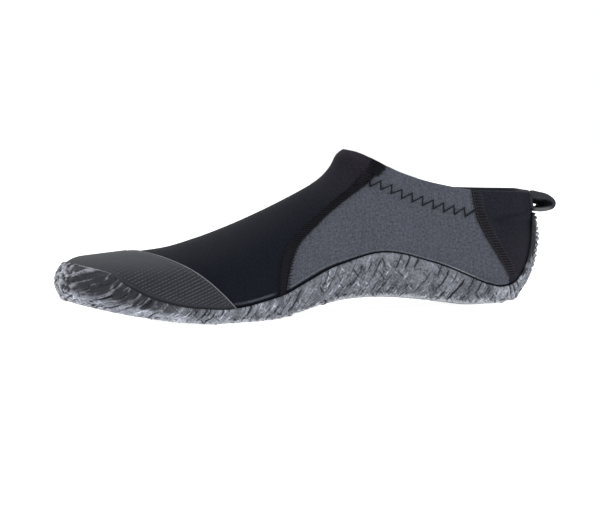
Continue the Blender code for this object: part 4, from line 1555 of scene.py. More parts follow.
    def lay(self, tree: NodeTree, lines: list[Line], **values: Feed) -> Mesh:
        """Runs a tree along guide lines.

        Args:
            tree: the tree to run.
            lines: for each line its points in millimetres and its points' attributes.
            **values: the tree's inputs in snake case, lengths in millimetres.

        Returns:
            The plain mesh that the tree makes.
        """
        mesh = bpy.data.meshes.new("guide")
        edges, start = [], 0
        for line, _ in lines:
            edges += [(i, i + 1) for i in range(start, start + len(line) - 1)]
            start += len(line)
        mesh.from_pydata(self.row.place(np.concatenate([line for line, _ in lines])).tolist(), edges, [])
        for label in lines[0][1]:
            carry(mesh, label, np.concatenate([extra[label] for _, extra in lines]))
        guide = add_object("guide", mesh)
        modifier = guide.modifiers.new("work", "NODES")
        modifier.node_group = tree
        for item in tree.interface.items_tree:
            label = item.name.lower().replace(" ", "_")
            if item.in_out == "INPUT" and label in values:
                value = values[label]
                modifier[item.identifier] = value * MM if isinstance(value, float) else value
        graph = bpy.context.evaluated_depsgraph_get()
        made = bpy.data.meshes.new_from_object(guide.evaluated_get(graph))
        guide.modifiers.remove(modifier)
        bpy.data.objects.remove(guide)
        return made


def join_meshes(name: str, meshes: list[Mesh]) -> Object:
    """One object of several meshes, each with its own materials.

    Args:
        name: the piece's name.
        meshes: the meshes, which the object takes over.

    Returns:
        The joined object.
    """
    parts = [add_object(name if i == 0 else f"{name}_part", mesh) for i, mesh in enumerate(meshes)]
    with bpy.context.temp_override(active_object=parts[0], selected_editable_objects=parts):
        bpy.ops.object.join()
    parts[0].data.name = name
    return parts[0]


def take_mesh(piece: Object) -> Mesh:
    """An object's mesh, without the object.

    Args:
        piece: the object, which is removed.

    Returns:
        Its mesh.
    """
    mesh = piece.data
    bpy.data.objects.remove(piece)
    return mesh


@dataclass
class Piece:
    """What a piece is made with: the last, where it stands, the materials and the thread work."""

    last: Last
    row: RowFrame
    finishes: Finishes
    work: ThreadWork


@dataclass
class Outsole(Piece):
    """Moulded rubber cup with its toe bumper, heel strip, vein relief and tread."""

    wall_low: float = 2.9
    wall_lip: float = 1.7
    edge_inset: float = 9.0
    edge_corner: tuple[float, float, float] = (2.0, -4.5, -3.0)
    columns: int = 1120
    wall_rows: int = 48
    edge_rows: int = 10
    tread_rows: int = 18
    lip_round: float = 0.5
    tread_pitch: float = 6.4
    tread_depth: float = 1.2
    tread_wave: Pair = (4.5, 7.5)
    tread_lanes: float = 15.0
    edge_drop: float = 6.0
    inner_drop: float = 20.0
    heel_rib: float = 3.1
    counter_strokes: tuple[Pair, ...] = ((48.0, 3.8), (64.0, 4.7))
    fan_along: float = 0.80
    fan_height: float = 19.0
    fan_radius: float = 20.0
    fan_pitch: float = 3.6
    seed: int = 11
    flow: Table = Table(
        "along pitch lean depth cross strand vein knob",
        (
            (0.00, 3.4, 12.0, 0.1, 0.0, 0.6, 0.1, 1.0), (0.06, 3.4, 12.0, 0.1, 0.0, 0.8, 0.3, 1.0),
            (0.10, 3.4, 14.0, 0.3, 0.0, 1.1, 0.9, 0.3), (0.14, 3.0, 18.0, 0.6, 0.0, 1.2, 1.0, 0.0),
            (0.19, 2.8, 25.0, 1.1, 0.0, 1.2, 1.0, 0.0), (0.25, 3.0, 34.0, 1.2, 0.2, 1.1, 0.75, 0.0),
            (0.30, 3.6, 44.0, 1.2, 0.4, 1.0, 0.25, 0.0), (0.38, 4.4, 58.0, 1.1, 0.6, 0.8, 0.1, 0.0),
            (0.46, 4.4, 58.0, 1.0, 1.0, 0.8, 0.1, 0.0), (0.64, 4.2, 54.0, 1.2, 1.0, 0.9, 0.1, 0.0),
            (0.78, 4.6, 48.0, 1.4, 0.6, 0.8, 0.1, 0.0), (0.83, 3.8, 60.0, 1.1, 0.0, 0.9, 0.1, 0.2),
            (1.00, 3.8, 75.0, 1.1, 0.0, 0.8, 0.1, 0.3),
        ),
    )

    def along_values(self) -> Array:
        """along values that space the columns evenly on the mean of both sides.

        Returns:
            Rising values from 0 to 1.
        """
        fine = np.linspace(0, 1, 2401)
        steps = [np.linalg.norm(np.diff(self.last.feather(a), axis=0), axis=-1) for a in (fine, 2 - fine)]
        travelled = np.concatenate([[0], np.cumsum(sum(steps))])
        return np.interp(np.linspace(0, travelled[-1], self.columns // 2 + 1), travelled, fine)

    def smooth_outside(self, around: Array) -> Array:
        """Grid without relief, from the flat underside round the bottom edge and up the wall.

        Args:
            around: place of each column.

        Returns:
            Points by column and row.
        """
        last = self.last
        foot, out = last.feather(around), last.outward(around)
        along, _ = last.along(around)
        side, heel, toe = self.edge_corner
        corner = side + (heel - side) * ease(along, last.waist_end, 1)
        corner = corner + (toe - side) * fall(along, 0, last.toe_end)
        inset = foot - out * self.edge_inset
        start = lifted(inset, last.underside(inset))[:, None]
        turn = lifted(foot + out * corner[:, None], last.underside(foot))[:, None]
        shares = np.linspace(0, 1, self.wall_rows)
        thick = between(self.wall_low, self.wall_lip, shares)
        lip = last.lip_climb(around)[:, None]
        wall = last.offset(around[:, None], lip * shares, last.gap + thick[None, :])
        u = (np.arange(self.edge_rows) / self.edge_rows)[None, :, None]
        edge = start * (1 - u) ** 2 + turn * 2 * u * (1 - u) + wall[:, :1] * u**2
        return np.concatenate([edge, wall], 1)

    @staticmethod
    def strokes(phase: Array, pitch: Array, place: Array, cell: float, seen: float, seed: int) -> Array:
        """Rows of broken grooves, each with its own length, width and depth.

        Args:
            phase: number of the row that each corner is at.
            pitch: millimetres from row to row.
            place: millimetres along the rows.
            cell: millimetres from one groove of a row to the next.
            seen: share of the grooves that show.
            seed: number of the pattern.

        Returns:
            0 between the grooves and up to 1.2 in their middle.
        """
        row = np.round(phase)
        turn = place / cell + scatter(row, seed)
        own, part = row * 31 + np.floor(turn), turn - np.floor(turn)
        length = 0.65 + 0.35 * scatter(own, seed + 1)
        shown = ease(part, 0.0, 0.12) * fall(part / length, 0.75, 1.0) * (scatter(own, seed + 2) < seen)
        depth = 0.38 + 0.85 * scatter(own, seed + 4) ** 1.6
        return depth * shown * bump((phase - row) * pitch, 0.24 + 0.24 * scatter(own, seed + 3))

    @staticmethod
    def crown(place: Array) -> Array:
        """Round rib, 0 in the groove at place 0 and 1 half a pitch from it."""
        return np.sqrt(np.clip(1 - (1 - 2 * np.abs(place)) ** 2, 0, 1))

    def relief(self, along: Array, s: Array, w: Array) -> dict[str, Array]:
        """Moulded relief of one side of the wall.

        Args:
            along: share of the way from toe to heel, for each column.
            s: length along the side, for each column.
            w: height up the wall from its foot, for each corner.

        Returns:
            For each corner, millimetres out of the wall, painted shade and painted highlight from 0 to 1, a
            tone that also carries painted light and a contrast about 1, and the places across and along the
            strands and the wall.
        """
        flow = {name: self.flow.curve(name, along)[:, None] for name in self.flow.columns.split()[1:]}
        lean, pitch, seed = np.radians(flow["lean"]), flow["pitch"], self.seed
        step = np.gradient(s)[:, None]
        turns = np.cumsum(step * np.sin(lean) / pitch, 0)
        across = np.cumsum(step * np.sin(lean), 0)
        run = np.cumsum(step * np.cos(lean), 0)
        tall = np.maximum(w[:, -1:], 6.0)
        slope = np.gradient(tall[:, 0], s)[:, None]
        margin = (tall - w) / np.sqrt(1 + slope**2)
        ahead = s - np.interp(self.fan_along, along, s)
        back, s, ahead = (one[:, None] for one in (s[-1] - s, s, ahead))
        share = w / tall
        upper = ease(share, 0.1, 0.6)
        bent = w * (1 - 0.25 * np.clip(share, 0, 1))
        p, q = bent * np.cos(lean) - across, w * np.sin(lean) + run

        wander = 0.16 * noise(s / 14, w / 16, seed) + 0.07 * noise(s / 2.2, w / 2.2, seed + 1)
        phase = bent * np.cos(lean) / pitch - turns + wander
        stroke = flow["depth"] * self.strokes(phase, pitch, q, 22.0, 0.9, seed + 2)
        for turn, (angle, spacing) in enumerate(self.counter_strokes):
            sine, cosine, own = np.sin(np.radians(angle)), np.cos(np.radians(angle)), seed + 40 + 10 * turn
            phase = (w * cosine + s * sine) / spacing + 0.2 * noise(s / 6, w / 6, own)
            other = self.strokes(phase, spacing, w * sine - s * cosine, 9.0, 0.5, own + 1)
            stroke = np.maximum(stroke, 0.7 * flow["cross"] * other)
        stroke = np.maximum(stroke, 0.5 * flow["cross"] * ease(noise(s / 1.3, w / 1.1, seed + 20), 0.5, 0.85))
        fan = np.arctan2(ahead, self.fan_height - w)
        phase = fan * self.fan_radius / self.fan_pitch + 0.45 * noise(s / 3, w / 6, seed + 71)
        row = np.round(phase)
        rays = (0.6 + 0.6 * scatter(row, seed + 70)) * bump((phase - row) * self.fan_pitch, 0.55)
        rays = rays * (0.25 + 0.9 * ease(noise(s / 2.6, w / 5, seed + 72), -0.4, 0.3))
        ray_crown = self.crown(phase - row)
        level = w / self.heel_rib + 0.1 * noise(back / 5, w / 9, seed + 15)
        row = np.round(level)
        rib = (0.9 + 0.9 * scatter(row, seed + 16)) * bump((level - row) * self.heel_rib, 0.6)
        heel, behind = ease(fan, -0.25, 0.0), ease(fan, 1.42, 1.5)
        # Groove depth, which both cuts the relief and sets the painted shade in it
        groove_shade = stroke * (1 - heel) + rays * (heel - behind) + rib * behind
        crown = ray_crown * (heel - behind) + 2.0 * self.crown(level - row) * behind

        strand = noise(p / 1.5, q / 8, seed + 9) + 0.5 * noise(p / 0.9, q / 5, seed + 10)
        fine = ease(along, 0.12, 0.18)[:, None]
        leaf = np.abs(noise(p / 2.4, q / 13, seed + 12)) ** 0.75 * (1 - fine)
        leaf = leaf + np.abs(noise(p / 1.3, q / 10, seed + 29)) ** 0.75 * fine
        leaf = leaf + 0.4 * np.abs(noise(p / 1.3, q / 8, seed + 13))
        lump = noise(s / 1.6, w / 1.6, seed + 14) + 0.8 * noise(s / 0.9, w / 0.9, seed + 17)
        ragged = 1.5 * noise(s / 1.7, w / 4, seed + 21) * bump(w + 1, 2.6)
        rough = 0.22 * flow["strand"] * strand + (0.22 + 0.1 * behind) * noise(s / 2.6, w / 2.6, seed + 11)
        raised = 0.35 + rough + ragged - groove_shade - 0.65 * flow["vein"] * leaf + 0.6 * flow["knob"] * lump
        raised = raised + 0.35 * (crown - 0.5 * heel - 0.9 * behind)

        strip = behind * ease(w, 22, 29)
        # Painted shade along the heel strip's lip in its upper part
        strip_lip_shade = strip * fall(margin, 1.6, 2.4)
        # Painted highlight along the bumper's lip
        lip = bump(margin, 0.7) * flow["vein"] * fall(along, 0.13, 0.2)[:, None]
        # Painted shade: grooves, leaf hollows, pits between the knobs and the line by the heel strip's lip
        hollow = groove_shade + flow["vein"] * ease(leaf, 0.1, 0.6) * (0.3 + 0.7 * upper) * (1 - lip)
        hollow = hollow + 0.8 * strip_lip_shade + flow["knob"] * ease(-lump, 0.15, 0.7)
        # Painted highlight on the crests: vein ridges, the bumper's lip, knobs, the heel strip's upper edge
        # and the tops of the rays and ribs
        crest = 0.55 * flow["vein"] * bump(leaf, 0.13) + 0.4 * lip + flow["knob"] * ease(lump, 0.1, 0.7)
        crest = crest + strip * bump(w - 37, 4) * bump(margin - 1.4, 0.6)
        crest = crest + crown * (0.15 * (heel - behind) + 0.22 * behind * (1 - strip_lip_shade))
        ball = bump(along - 0.34, 0.09)[:, None]
        bumper = (ease(along, 0.02, 0.1) * fall(along, 0.24, 0.36))[:, None]
        broad = noise(s / 4.5, w / 3.5, seed + 27) + 1.2 * noise(p / 3.5, q / 14, seed + 28)
        # Tone by zone and at random, plus painted light: the bumper lighter low and darker high, the toe's
        # front lighter as a painted highlight
        tone = 1 + 0.35 * ball + bumper * (1.1 - 1.45 * upper) + 0.55 * (heel - behind) + 0.3 * behind
        tone = tone + (0.22 + 0.15 * ball) * broad
        tone = tone - 0.15 * strip * ease(w, 36, 44) + 0.25 * fall(along, 0.03, 0.1)[:, None]
        busy = np.clip(0.75 + 0.7 * noise(s / 11, w / 8, seed + 25) + 0.45 * (1 - share), 0.3, 1.6)
        return {
            "raised": raised, "hollow": np.clip(hollow, 0, 1), "crest": np.clip(crest, 0, 1),
            "tone": np.maximum(tone, 0.15), "busy": busy + 0.5 * ball, "flow": on_sheet(p, q),
            "wall": on_sheet(s, w),
        }

    def tread(self, points: Array) -> Array:
        """Depth of the underside's wavy grooves and lengthwise cuts.

        Args:
            points: places on the underside.

        Returns:
            Millimetres for each point.
        """
        x, y = points[..., 0], points[..., 1]
        swing, bend = self.tread_wave
        phase = (x + swing * np.sin(y / bend)) / self.tread_pitch
        across = np.abs(phase - np.round(phase)) * self.tread_pitch
        along = np.abs(np.mod(y / self.tread_lanes + 0.5, 1) - 0.5) * self.tread_lanes
        return self.tread_depth * np.maximum(fall(across, 0.7, 1.3), 0.8 * fall(along, 0.6, 1.2))

    def build(self) -> Object:
        """Makes the outsole.

        Returns:
            The finished object.
        """
        last, half = self.last, self.along_values()
        around = ring(half)
        along, _ = last.along(around)
        outside, foot_row = self.smooth_outside(around), self.edge_rows
        lengths = rows_length(outside)
        w = lengths - lengths[:, foot_row : foot_row + 1]
        looks = {name: np.empty(w.shape) for name in ("raised", "hollow", "crest", "tone", "busy")}
        looks |= {name: np.empty(outside.shape) for name in ("flow", "wall")}
        medial = np.arange(len(half))
        lateral = np.concatenate([[0], np.arange(len(around) - 1, len(half) - 2, -1)])
        for columns in (lateral, medial):
            s = columns_length(outside[columns, foot_row])
            for name, values in self.relief(along[columns], s, w[columns]).items():
                looks[name][columns] = values
        top = 1 - 0.75 * ease(w - w[:, -1:], -1.0, 0.01)
        raised = looks.pop("raised") * top * ease(w / -w[:, :1], -1.0, -0.2)
        outside = outside + grid_normals(outside) * raised[..., None]
        outside[..., 2] = np.maximum(outside[..., 2], 0.0)

        shape = MeshBuilder(self.row)
        skin = shape.grid(outside, drop=w, **looks)
        shares = np.linspace(0, 1, self.tread_rows)
        plan = filled(outside[:, 0, :2], shares)
        bottom = lifted(plan, last.underside(plan))
        cut = self.tread(bottom) * fall(shares, 0.9, 1.0)
        bottom[..., 2] += cut
        plain = np.ones(cut.shape)
        # The tread's grooves get painted shade
        sole_looks = {"hollow": cut / 1.4, "drop": plain * self.edge_drop, "tone": plain, "busy": plain}
        flow, wall = (bottom * np.array(stretch) for stretch in ((1.0, 3.0, 0.0), (1.0, 1.0, 0.0)))
        shape.grid(bottom, flow=flow, wall=wall, **sole_looks)
        climb = last.lip_climb(around)[:, None] * np.array([1.0, 0.5, 0.0])
        inner = last.offset(around[:, None], climb, last.gap)
        crest = (outside[:, -1:] + inner[:, :1]) / 2 + np.array([0, 0, self.lip_round])
        floor = np.concatenate([inner[:, -1:, :2], filled(last.feather(around), np.array([0.7, 0.0]))], 1)
        floor = lifted(floor, last.underside(floor) + last.sole_floor)
        inside = np.concatenate([crest, inner[:, :-1], floor], 1)
        rows = inside.shape[1]
        inside = shape.corners(
            inside, drop=np.full(inside.shape[:-1], self.inner_drop),
            **{name: np.repeat(values[:, -1:], rows, 1) for name, values in looks.items()},
        )
        shape.skin(np.concatenate([skin[:, -1:], inside], 1), True)
        return shape.build("outsole_rubber", [self.finishes.sole], 75.0)


@dataclass
class Upper(Piece):
    """Neoprene sock of black vamp, grey quarters and black heel, with its hem turned in."""

    wall: float = 3.0
    hem_extra: float = 2.0
    hem_width: float = 13.0
    hem_step: float = 3.0
    rim_round: float = 1.3
    steps: tuple[int, ...] = (70, 70, 60, 16, 60)
    rows_below: int = 5
    rows_above: int = 100
    inner_rows: int = 26
    rim_turns: int = 7
    seam_count: int = 320

    def around(self) -> Array:
        """Closed ring of around values, with one at each change of part.

        Returns:
            Rising values from 0 to 2.
        """
        last = self.last
        ends = (0.0, last.toe_end, last.vamp_end, last.collar_end, last.waist_end, 1.0)
        spans = zip(ends[:-1], ends[1:], self.steps)
        parts = [low + (high - low) * np.arange(count) / count for low, high, count in spans]
        return ring(np.concatenate([*parts, [1.0]]))

    def seam_distance(self, points: Array, lateral: Array, line: SeamLine) -> Array:
        """Distance from a seam, positive towards the heel.

        Args:
            points: corners of the outer face, by column and row.
            lateral: whether each column is on the lateral side.
            line: which seam.

        Returns:
            Millimetres for each corner.
        """
        distance = np.empty(points.shape[:-1])
        for side in Side:
            columns = lateral if side is Side.LATERAL else ~lateral
            course = self.last.surface(*self.last.seam_points(line, side, self.seam_count))
            own = points[columns]
            course_x = np.interp(own[..., 2], course[:, 2], course[:, 0])
            distance[columns] = nearest(own, course) * np.sign(own[..., 0] - course_x)
        return distance

    @staticmethod
    def folds(points: Array) -> Array:
        """Shallow folds across the heel, under the pull loop."""
        x, z = points[..., 0] + 20, points[..., 2]
        return bump(z - 50 - 0.15 * x, 1.6) + 0.8 * bump(z - 45.5 + 0.1 * x, 1.8) + 0.5 * bump(z - 41, 2)

    def swell(self, points: Array, front: Array, heel: Array, rim: Array) -> Array:
        """How far the cloth stands off the last.

        Args:
            points: corners of the outer face.
            front: their distances from the front seam.
            heel: their distances from the heel seam.
            rim: their distances from the rim.

        Returns:
            Millimetres: drawn in at the seams and creases, out at the doubled hem and the collar's front.
        """
        x, z = points[..., 0], points[..., 2]
        drawn = -0.35 * bump(front, 2.2) - 0.35 * bump(heel, 2.0)
        quarter = ease(front, 3, 14) * fall(heel, -12, -3)
        creases = -0.35 * bump(x + 74 - 0.25 * z, 5.5) * bump(z - 44, 12)
        creases = creases - 0.3 * bump(x + 104 + 0.15 * z, 7.0) * bump(z - 52, 14)
        creases = creases + 0.25 * bump(x + 90, 8) * bump(z - 47, 12)
        wrinkle = -0.5 * self.folds(points) * ease(heel, 6, 13)
        hem = 0.4 * fall(rim, 10.5, 13.0) * ease(front, -4, 6)
        peak = 1.5 * bump(rim - 5, 5.0) * bump(x + 114, 9.0)
        return drawn + creases * quarter + wrinkle + hem + peak

    def build(self) -> Object:
        """Makes the upper.

        Returns:
            The finished object.
        """
        last, around = self.last, self.around()
        along, lateral = last.along(around)
        column, lip = around[:, None], last.lip_climb(around)[:, None]
        low = np.linspace(0, 1, self.rows_below, endpoint=False)
        high = np.linspace(0, 1, self.rows_above)
        climb = np.concatenate([lip * low, lip + (1 - lip) * high], 1)
        outer = last.surface(column, climb)
        lengths = rows_length(outer)
        above = lengths - lengths[:, self.rows_below : self.rows_below + 1]
        front, heel = (self.seam_distance(outer, lateral, line) for line in SeamLine)
        rim_columns = np.flatnonzero(along >= last.vamp_end - 1e-9)
        rim_points = outer[rim_columns, -1]
        lift = self.swell(outer, front, heel, nearest(outer, rim_points))
        outer = outer + last.normal(column, climb) * lift[..., None]
        ridge = np.flatnonzero(along <= last.vamp_end + 1e-9)
        across = (-np.arange(len(around)) % len(around))[ridge]
        outer[ridge, -1] = (outer[ridge, -1] + outer[across, -1]) / 2
        middle = outer[:, self.rows_below + self.rows_above // 3]
        s = columns_length(np.concatenate([middle, middle[:1]]))[:-1, None]

        x, z = outer[..., 0], outer[..., 2]
        quarter = ease(front, -0.2, 0.2) * fall(heel, -0.2, 0.2)
        # Strength of the painted highlight along the lip on the quarters, strongest near the heel
        glue = (0.15 + 0.25 * bump(x + 66, 20) + 0.6 * bump(x + 53, 8)) * quarter
        looks = {
            "front": front, "heel": heel, "above_lip": above, "shade": 1 + 0.75 * bump(x + 145, 24),
            "warm": bump(x + 108, 20) + 0.8 * bump(x + 20, 14) * bump(z - 24, 16),
            # Share of the heel panel's lighter black, lowered along the folds as painted shade
            "faded": ease(heel, 0, 4) * (0.9 - 0.5 * self.folds(outer) * ease(heel, 6, 13)),
            "weave": on_sheet(s, lengths),
        }
        shape = MeshBuilder(self.row)
        tape = 0.85 * bump(x + 175, 15) * fall(front, -8, -6)
        face = shape.grid(outer, glue=glue, tape=tape, **looks)
        inner_climb = np.concatenate([lip * 0, lip + (1 - lip) * np.linspace(0, 1, self.inner_rows)], 1)
        inner = last.surface(column, inner_climb)
        hem = fall(nearest(inner, rim_points), self.hem_width - self.hem_step, self.hem_width)
        inward = last.normal(column, inner_climb)
        crown = fall(along, 0.04, 0.2)[:, None] * ease(inner_climb, 0.78, 0.94)
        inward = unit(inward + (np.array([0, 0, 1]) - inward) * crown[..., None])
        inner = inner - inward * (self.wall + self.hem_extra * hem)[..., None]
        inner[ridge, -1] = (inner[ridge, -1] + inner[across, -1]) / 2
        lining = shape.corners(inner, weave=on_sheet(s, rows_length(inner)))
        shape.skin(lining[:, ::-1], True, 1)
        shape.skin(np.stack([lining[:, 0], face[:, 0]], 1), True, 1)

        one, two = outer[rim_columns, -1], inner[rim_columns, -1]
        up = unit(one - outer[rim_columns, -4])
        angle = np.linspace(0, np.pi, self.rim_turns + 2)[1:-1][None, :, None]
        round_rim = (one + two)[:, None] / 2 + (one - two)[:, None] / 2 * np.cos(angle)
        round_rim = round_rim + up[:, None] * self.rim_round * np.sin(angle)
        round_rim[[0, -1]] = (round_rim[0] + round_rim[-1]) / 2
        looks = {name: value[rim_columns, -1:] for name, value in looks.items()}
        looks = {name: np.repeat(value, self.rim_turns, 1) for name, value in looks.items()}
        turn = shape.corners(round_rim, **looks)
        shape.skin(np.concatenate([face[rim_columns, -1:], turn, lining[rim_columns, -1:]], 1), False)
        return shape.build("upper_neoprene", [self.finishes.neoprene, self.finishes.lining], 75.0)


@dataclass
class ToeCap(Piece):
    """Ribbed rubber sheet over the toe, with a pale bead along its rear edge."""

    thickness: float = 1.0
    gap: float = 0.35
    ridge_x: float = -242.0
    side_x: float = -184.4
    apex_round: float = 0.3
    edge_bow: float = 0.69
    below_lip: float = 1.2
    columns: int = 150
    rows: int = 48
    rib_pitch: float = 1.73
    rib_lean: float = 21.5
    rib_radius: float = 0.37
    rib_sink: float = 0.08
    rib_least: int = 6
    dot_lean: float = -34.0
    dot_pitch: float = 1.6
    bead_radius: float = 0.34
    thin_edge: float = 0.4
    thin_reach: float = 4.0

    def edge_x(self, climb: Array) -> Array:
        """x of the rear edge at a climb, rounded over the ridge.

        Args:
            climb: share of the way up.

        Returns:
            One x for each climb.
        """
        left = np.sqrt((1 - climb) ** 2 + self.apex_round**2) - self.apex_round
        whole = np.sqrt(1 + self.apex_round**2) - self.apex_round
        return self.ridge_x + (self.side_x - self.ridge_x) * (left / whole) ** self.edge_bow

    def grid(self) -> tuple[Array, Array]:
        """around of the sheet's columns, from medial to lateral corner, and climb of its corners.

        Returns:
            One number for each column, and one for each corner.
        """
        last = self.last
        fine = np.linspace(0, last.vamp_end, 4001)
        closed = np.interp(self.ridge_x, last.top_x(fine), fine)
        end = np.interp(self.side_x, last.feather_x(fine), fine)
        parts = np.linspace(0, closed, self.columns // 2), np.linspace(closed, end, self.columns)[1:]
        half = np.concatenate(parts)
        around = np.concatenate([half[::-1], -half[1:]])
        low = last.climb_at_height(around, last.lip_height(around) - self.below_lip)
        steps = np.linspace(0, 1, 401)
        ahead = last.surface(around[:, None], steps)[..., 0] - self.edge_x(steps)
        first = np.argmax(ahead > 0, -1)
        rows = np.arange(len(around))
        before, after = ahead[rows, np.maximum(first - 1, 0)], ahead[rows, first]
        share = np.where(after > before, -before / np.where(after == before, 1, after - before), 0)
        crossing = steps[np.maximum(first - 1, 0)] + np.clip(share, 0, 1) / 400
        high = np.where((np.abs(around) <= closed) | ~(ahead > 0).any(-1), 1.0, crossing)
        high = np.maximum(high, low + 0.004)
        return around, low[:, None] + (high - low)[:, None] * np.linspace(0, 1, self.rows)

    @staticmethod
    def ribbed(normal: Array, above: Array) -> Array:
        """How strong the ribs are, from 0 on top of the toe and at the lip to 1."""
        return fall(normal[..., 2], 0.62, 0.9) * ease(above, 1.6, 3.0)

    def ribs(self, face: Array, normal: Array, above: Array) -> list[Line]:
        """Lines of slanting ribs, broken into dots at the front and thinning out over the toe.

        Args:
            face: the sheet's outer corners.
            normal: their normals.
            above: their distances over the sole's lip.

        Returns:
            For each rib its points and their swell.
        """
        x, z = face[..., 0], face[..., 2]
        turn, other = np.radians([self.rib_lean, self.dot_lean])
        level = z * np.cos(turn) - x * np.sin(turn)
        dots = 0.5 + 0.5 * np.cos((z * np.cos(other) - x * np.sin(other)) * 2 * np.pi / self.dot_pitch)
        dotted = 0.75 + 0.2 * np.clip(1.4 * bump(x + 240, 18) * bump(z - 26, 9), 0, 1)
        swell = self.ribbed(normal, above) * (1 - dotted * dots)
        lines: list[Line] = []
        middle = len(face) // 2
        for columns in (np.arange(middle), np.arange(middle, len(face))):
            for value in np.arange(level[columns].min(), level[columns].max(), self.rib_pitch):
                low, high = np.sort(level[columns][:, [0, -1]], -1).T
                inside = np.flatnonzero((low < value) & (high > value))
                for run in np.split(columns[inside], np.flatnonzero(np.diff(inside) > 1) + 1):
                    if len(run) < self.rib_least:
                        continue
                    rows = np.array([np.interp(value, level[c], np.arange(self.rows)) for c in run])
                    at = np.minimum(rows.astype(int), self.rows - 2)
                    share = (rows - at)[:, None]
                    line = face[run, at] * (1 - share) + face[run, at + 1] * share
                    line = line - normal[run, at] * self.rib_sink
                    lines.append((line, {"swell": np.clip(swell[run, at], 0.02, 1)}))
        return lines

    def build(self) -> Object:
        """Makes the cap, its ribs and its bead as one piece.

        Returns:
            The finished object.
        """
        last, work = self.last, self.work
        around, climb = self.grid()
        column = around[:, None]
        under = last.surface(column, climb)
        lengths = rows_length(under)
        rear = np.where(climb[:, -1:] < 1.0, lengths[:, -1:] - lengths, 20.0)
        thick = self.thickness * between(self.thin_edge, 1, ease(rear, 0, self.thin_reach))
        face = last.offset(column, climb, self.gap + thick)
        ridge = climb[:, -1] >= 1.0
        for sheet in (face, under):
            sheet[ridge, -1] = (sheet[ridge, -1] + sheet[::-1][ridge, -1]) / 2
        normal = last.normal(column, climb)
        lip = last.surface(around, last.lip_climb(around))
        above = lengths - np.linalg.norm(lip - under[:, 0], axis=-1)[:, None]
        shown = above + 3 * bump(face[..., 0] + 264, 14)
        shape = MeshBuilder(self.row)
        outer = shape.grid(face, False, above_lip=shown, ribbed=self.ribbed(normal, above))
        reach = np.argmax(ridge) + 1
        shape.close(outer, shape.corners(under), False, (slice(None, reach), slice(-reach, None)))
        sheet = take_mesh(shape.build("toe_cap_sheet", [self.finishes.cap]))
        lines = self.ribs(face, normal, above)
        ribs = work.lay(work.cord, lines, radius=self.rib_radius, sides=6, material=self.finishes.rib)
        edge = np.flatnonzero(climb[:, -1] < 1.0)
        line = face[edge[edge != len(around) // 2], -1]
        lines = [(line, {"swell": np.ones(len(line))})]
        bead = work.lay(work.cord, lines, radius=self.bead_radius, sides=8, material=self.finishes.bead)
        return join_meshes("toe_cap_rubber", [sheet, ribs, bead])


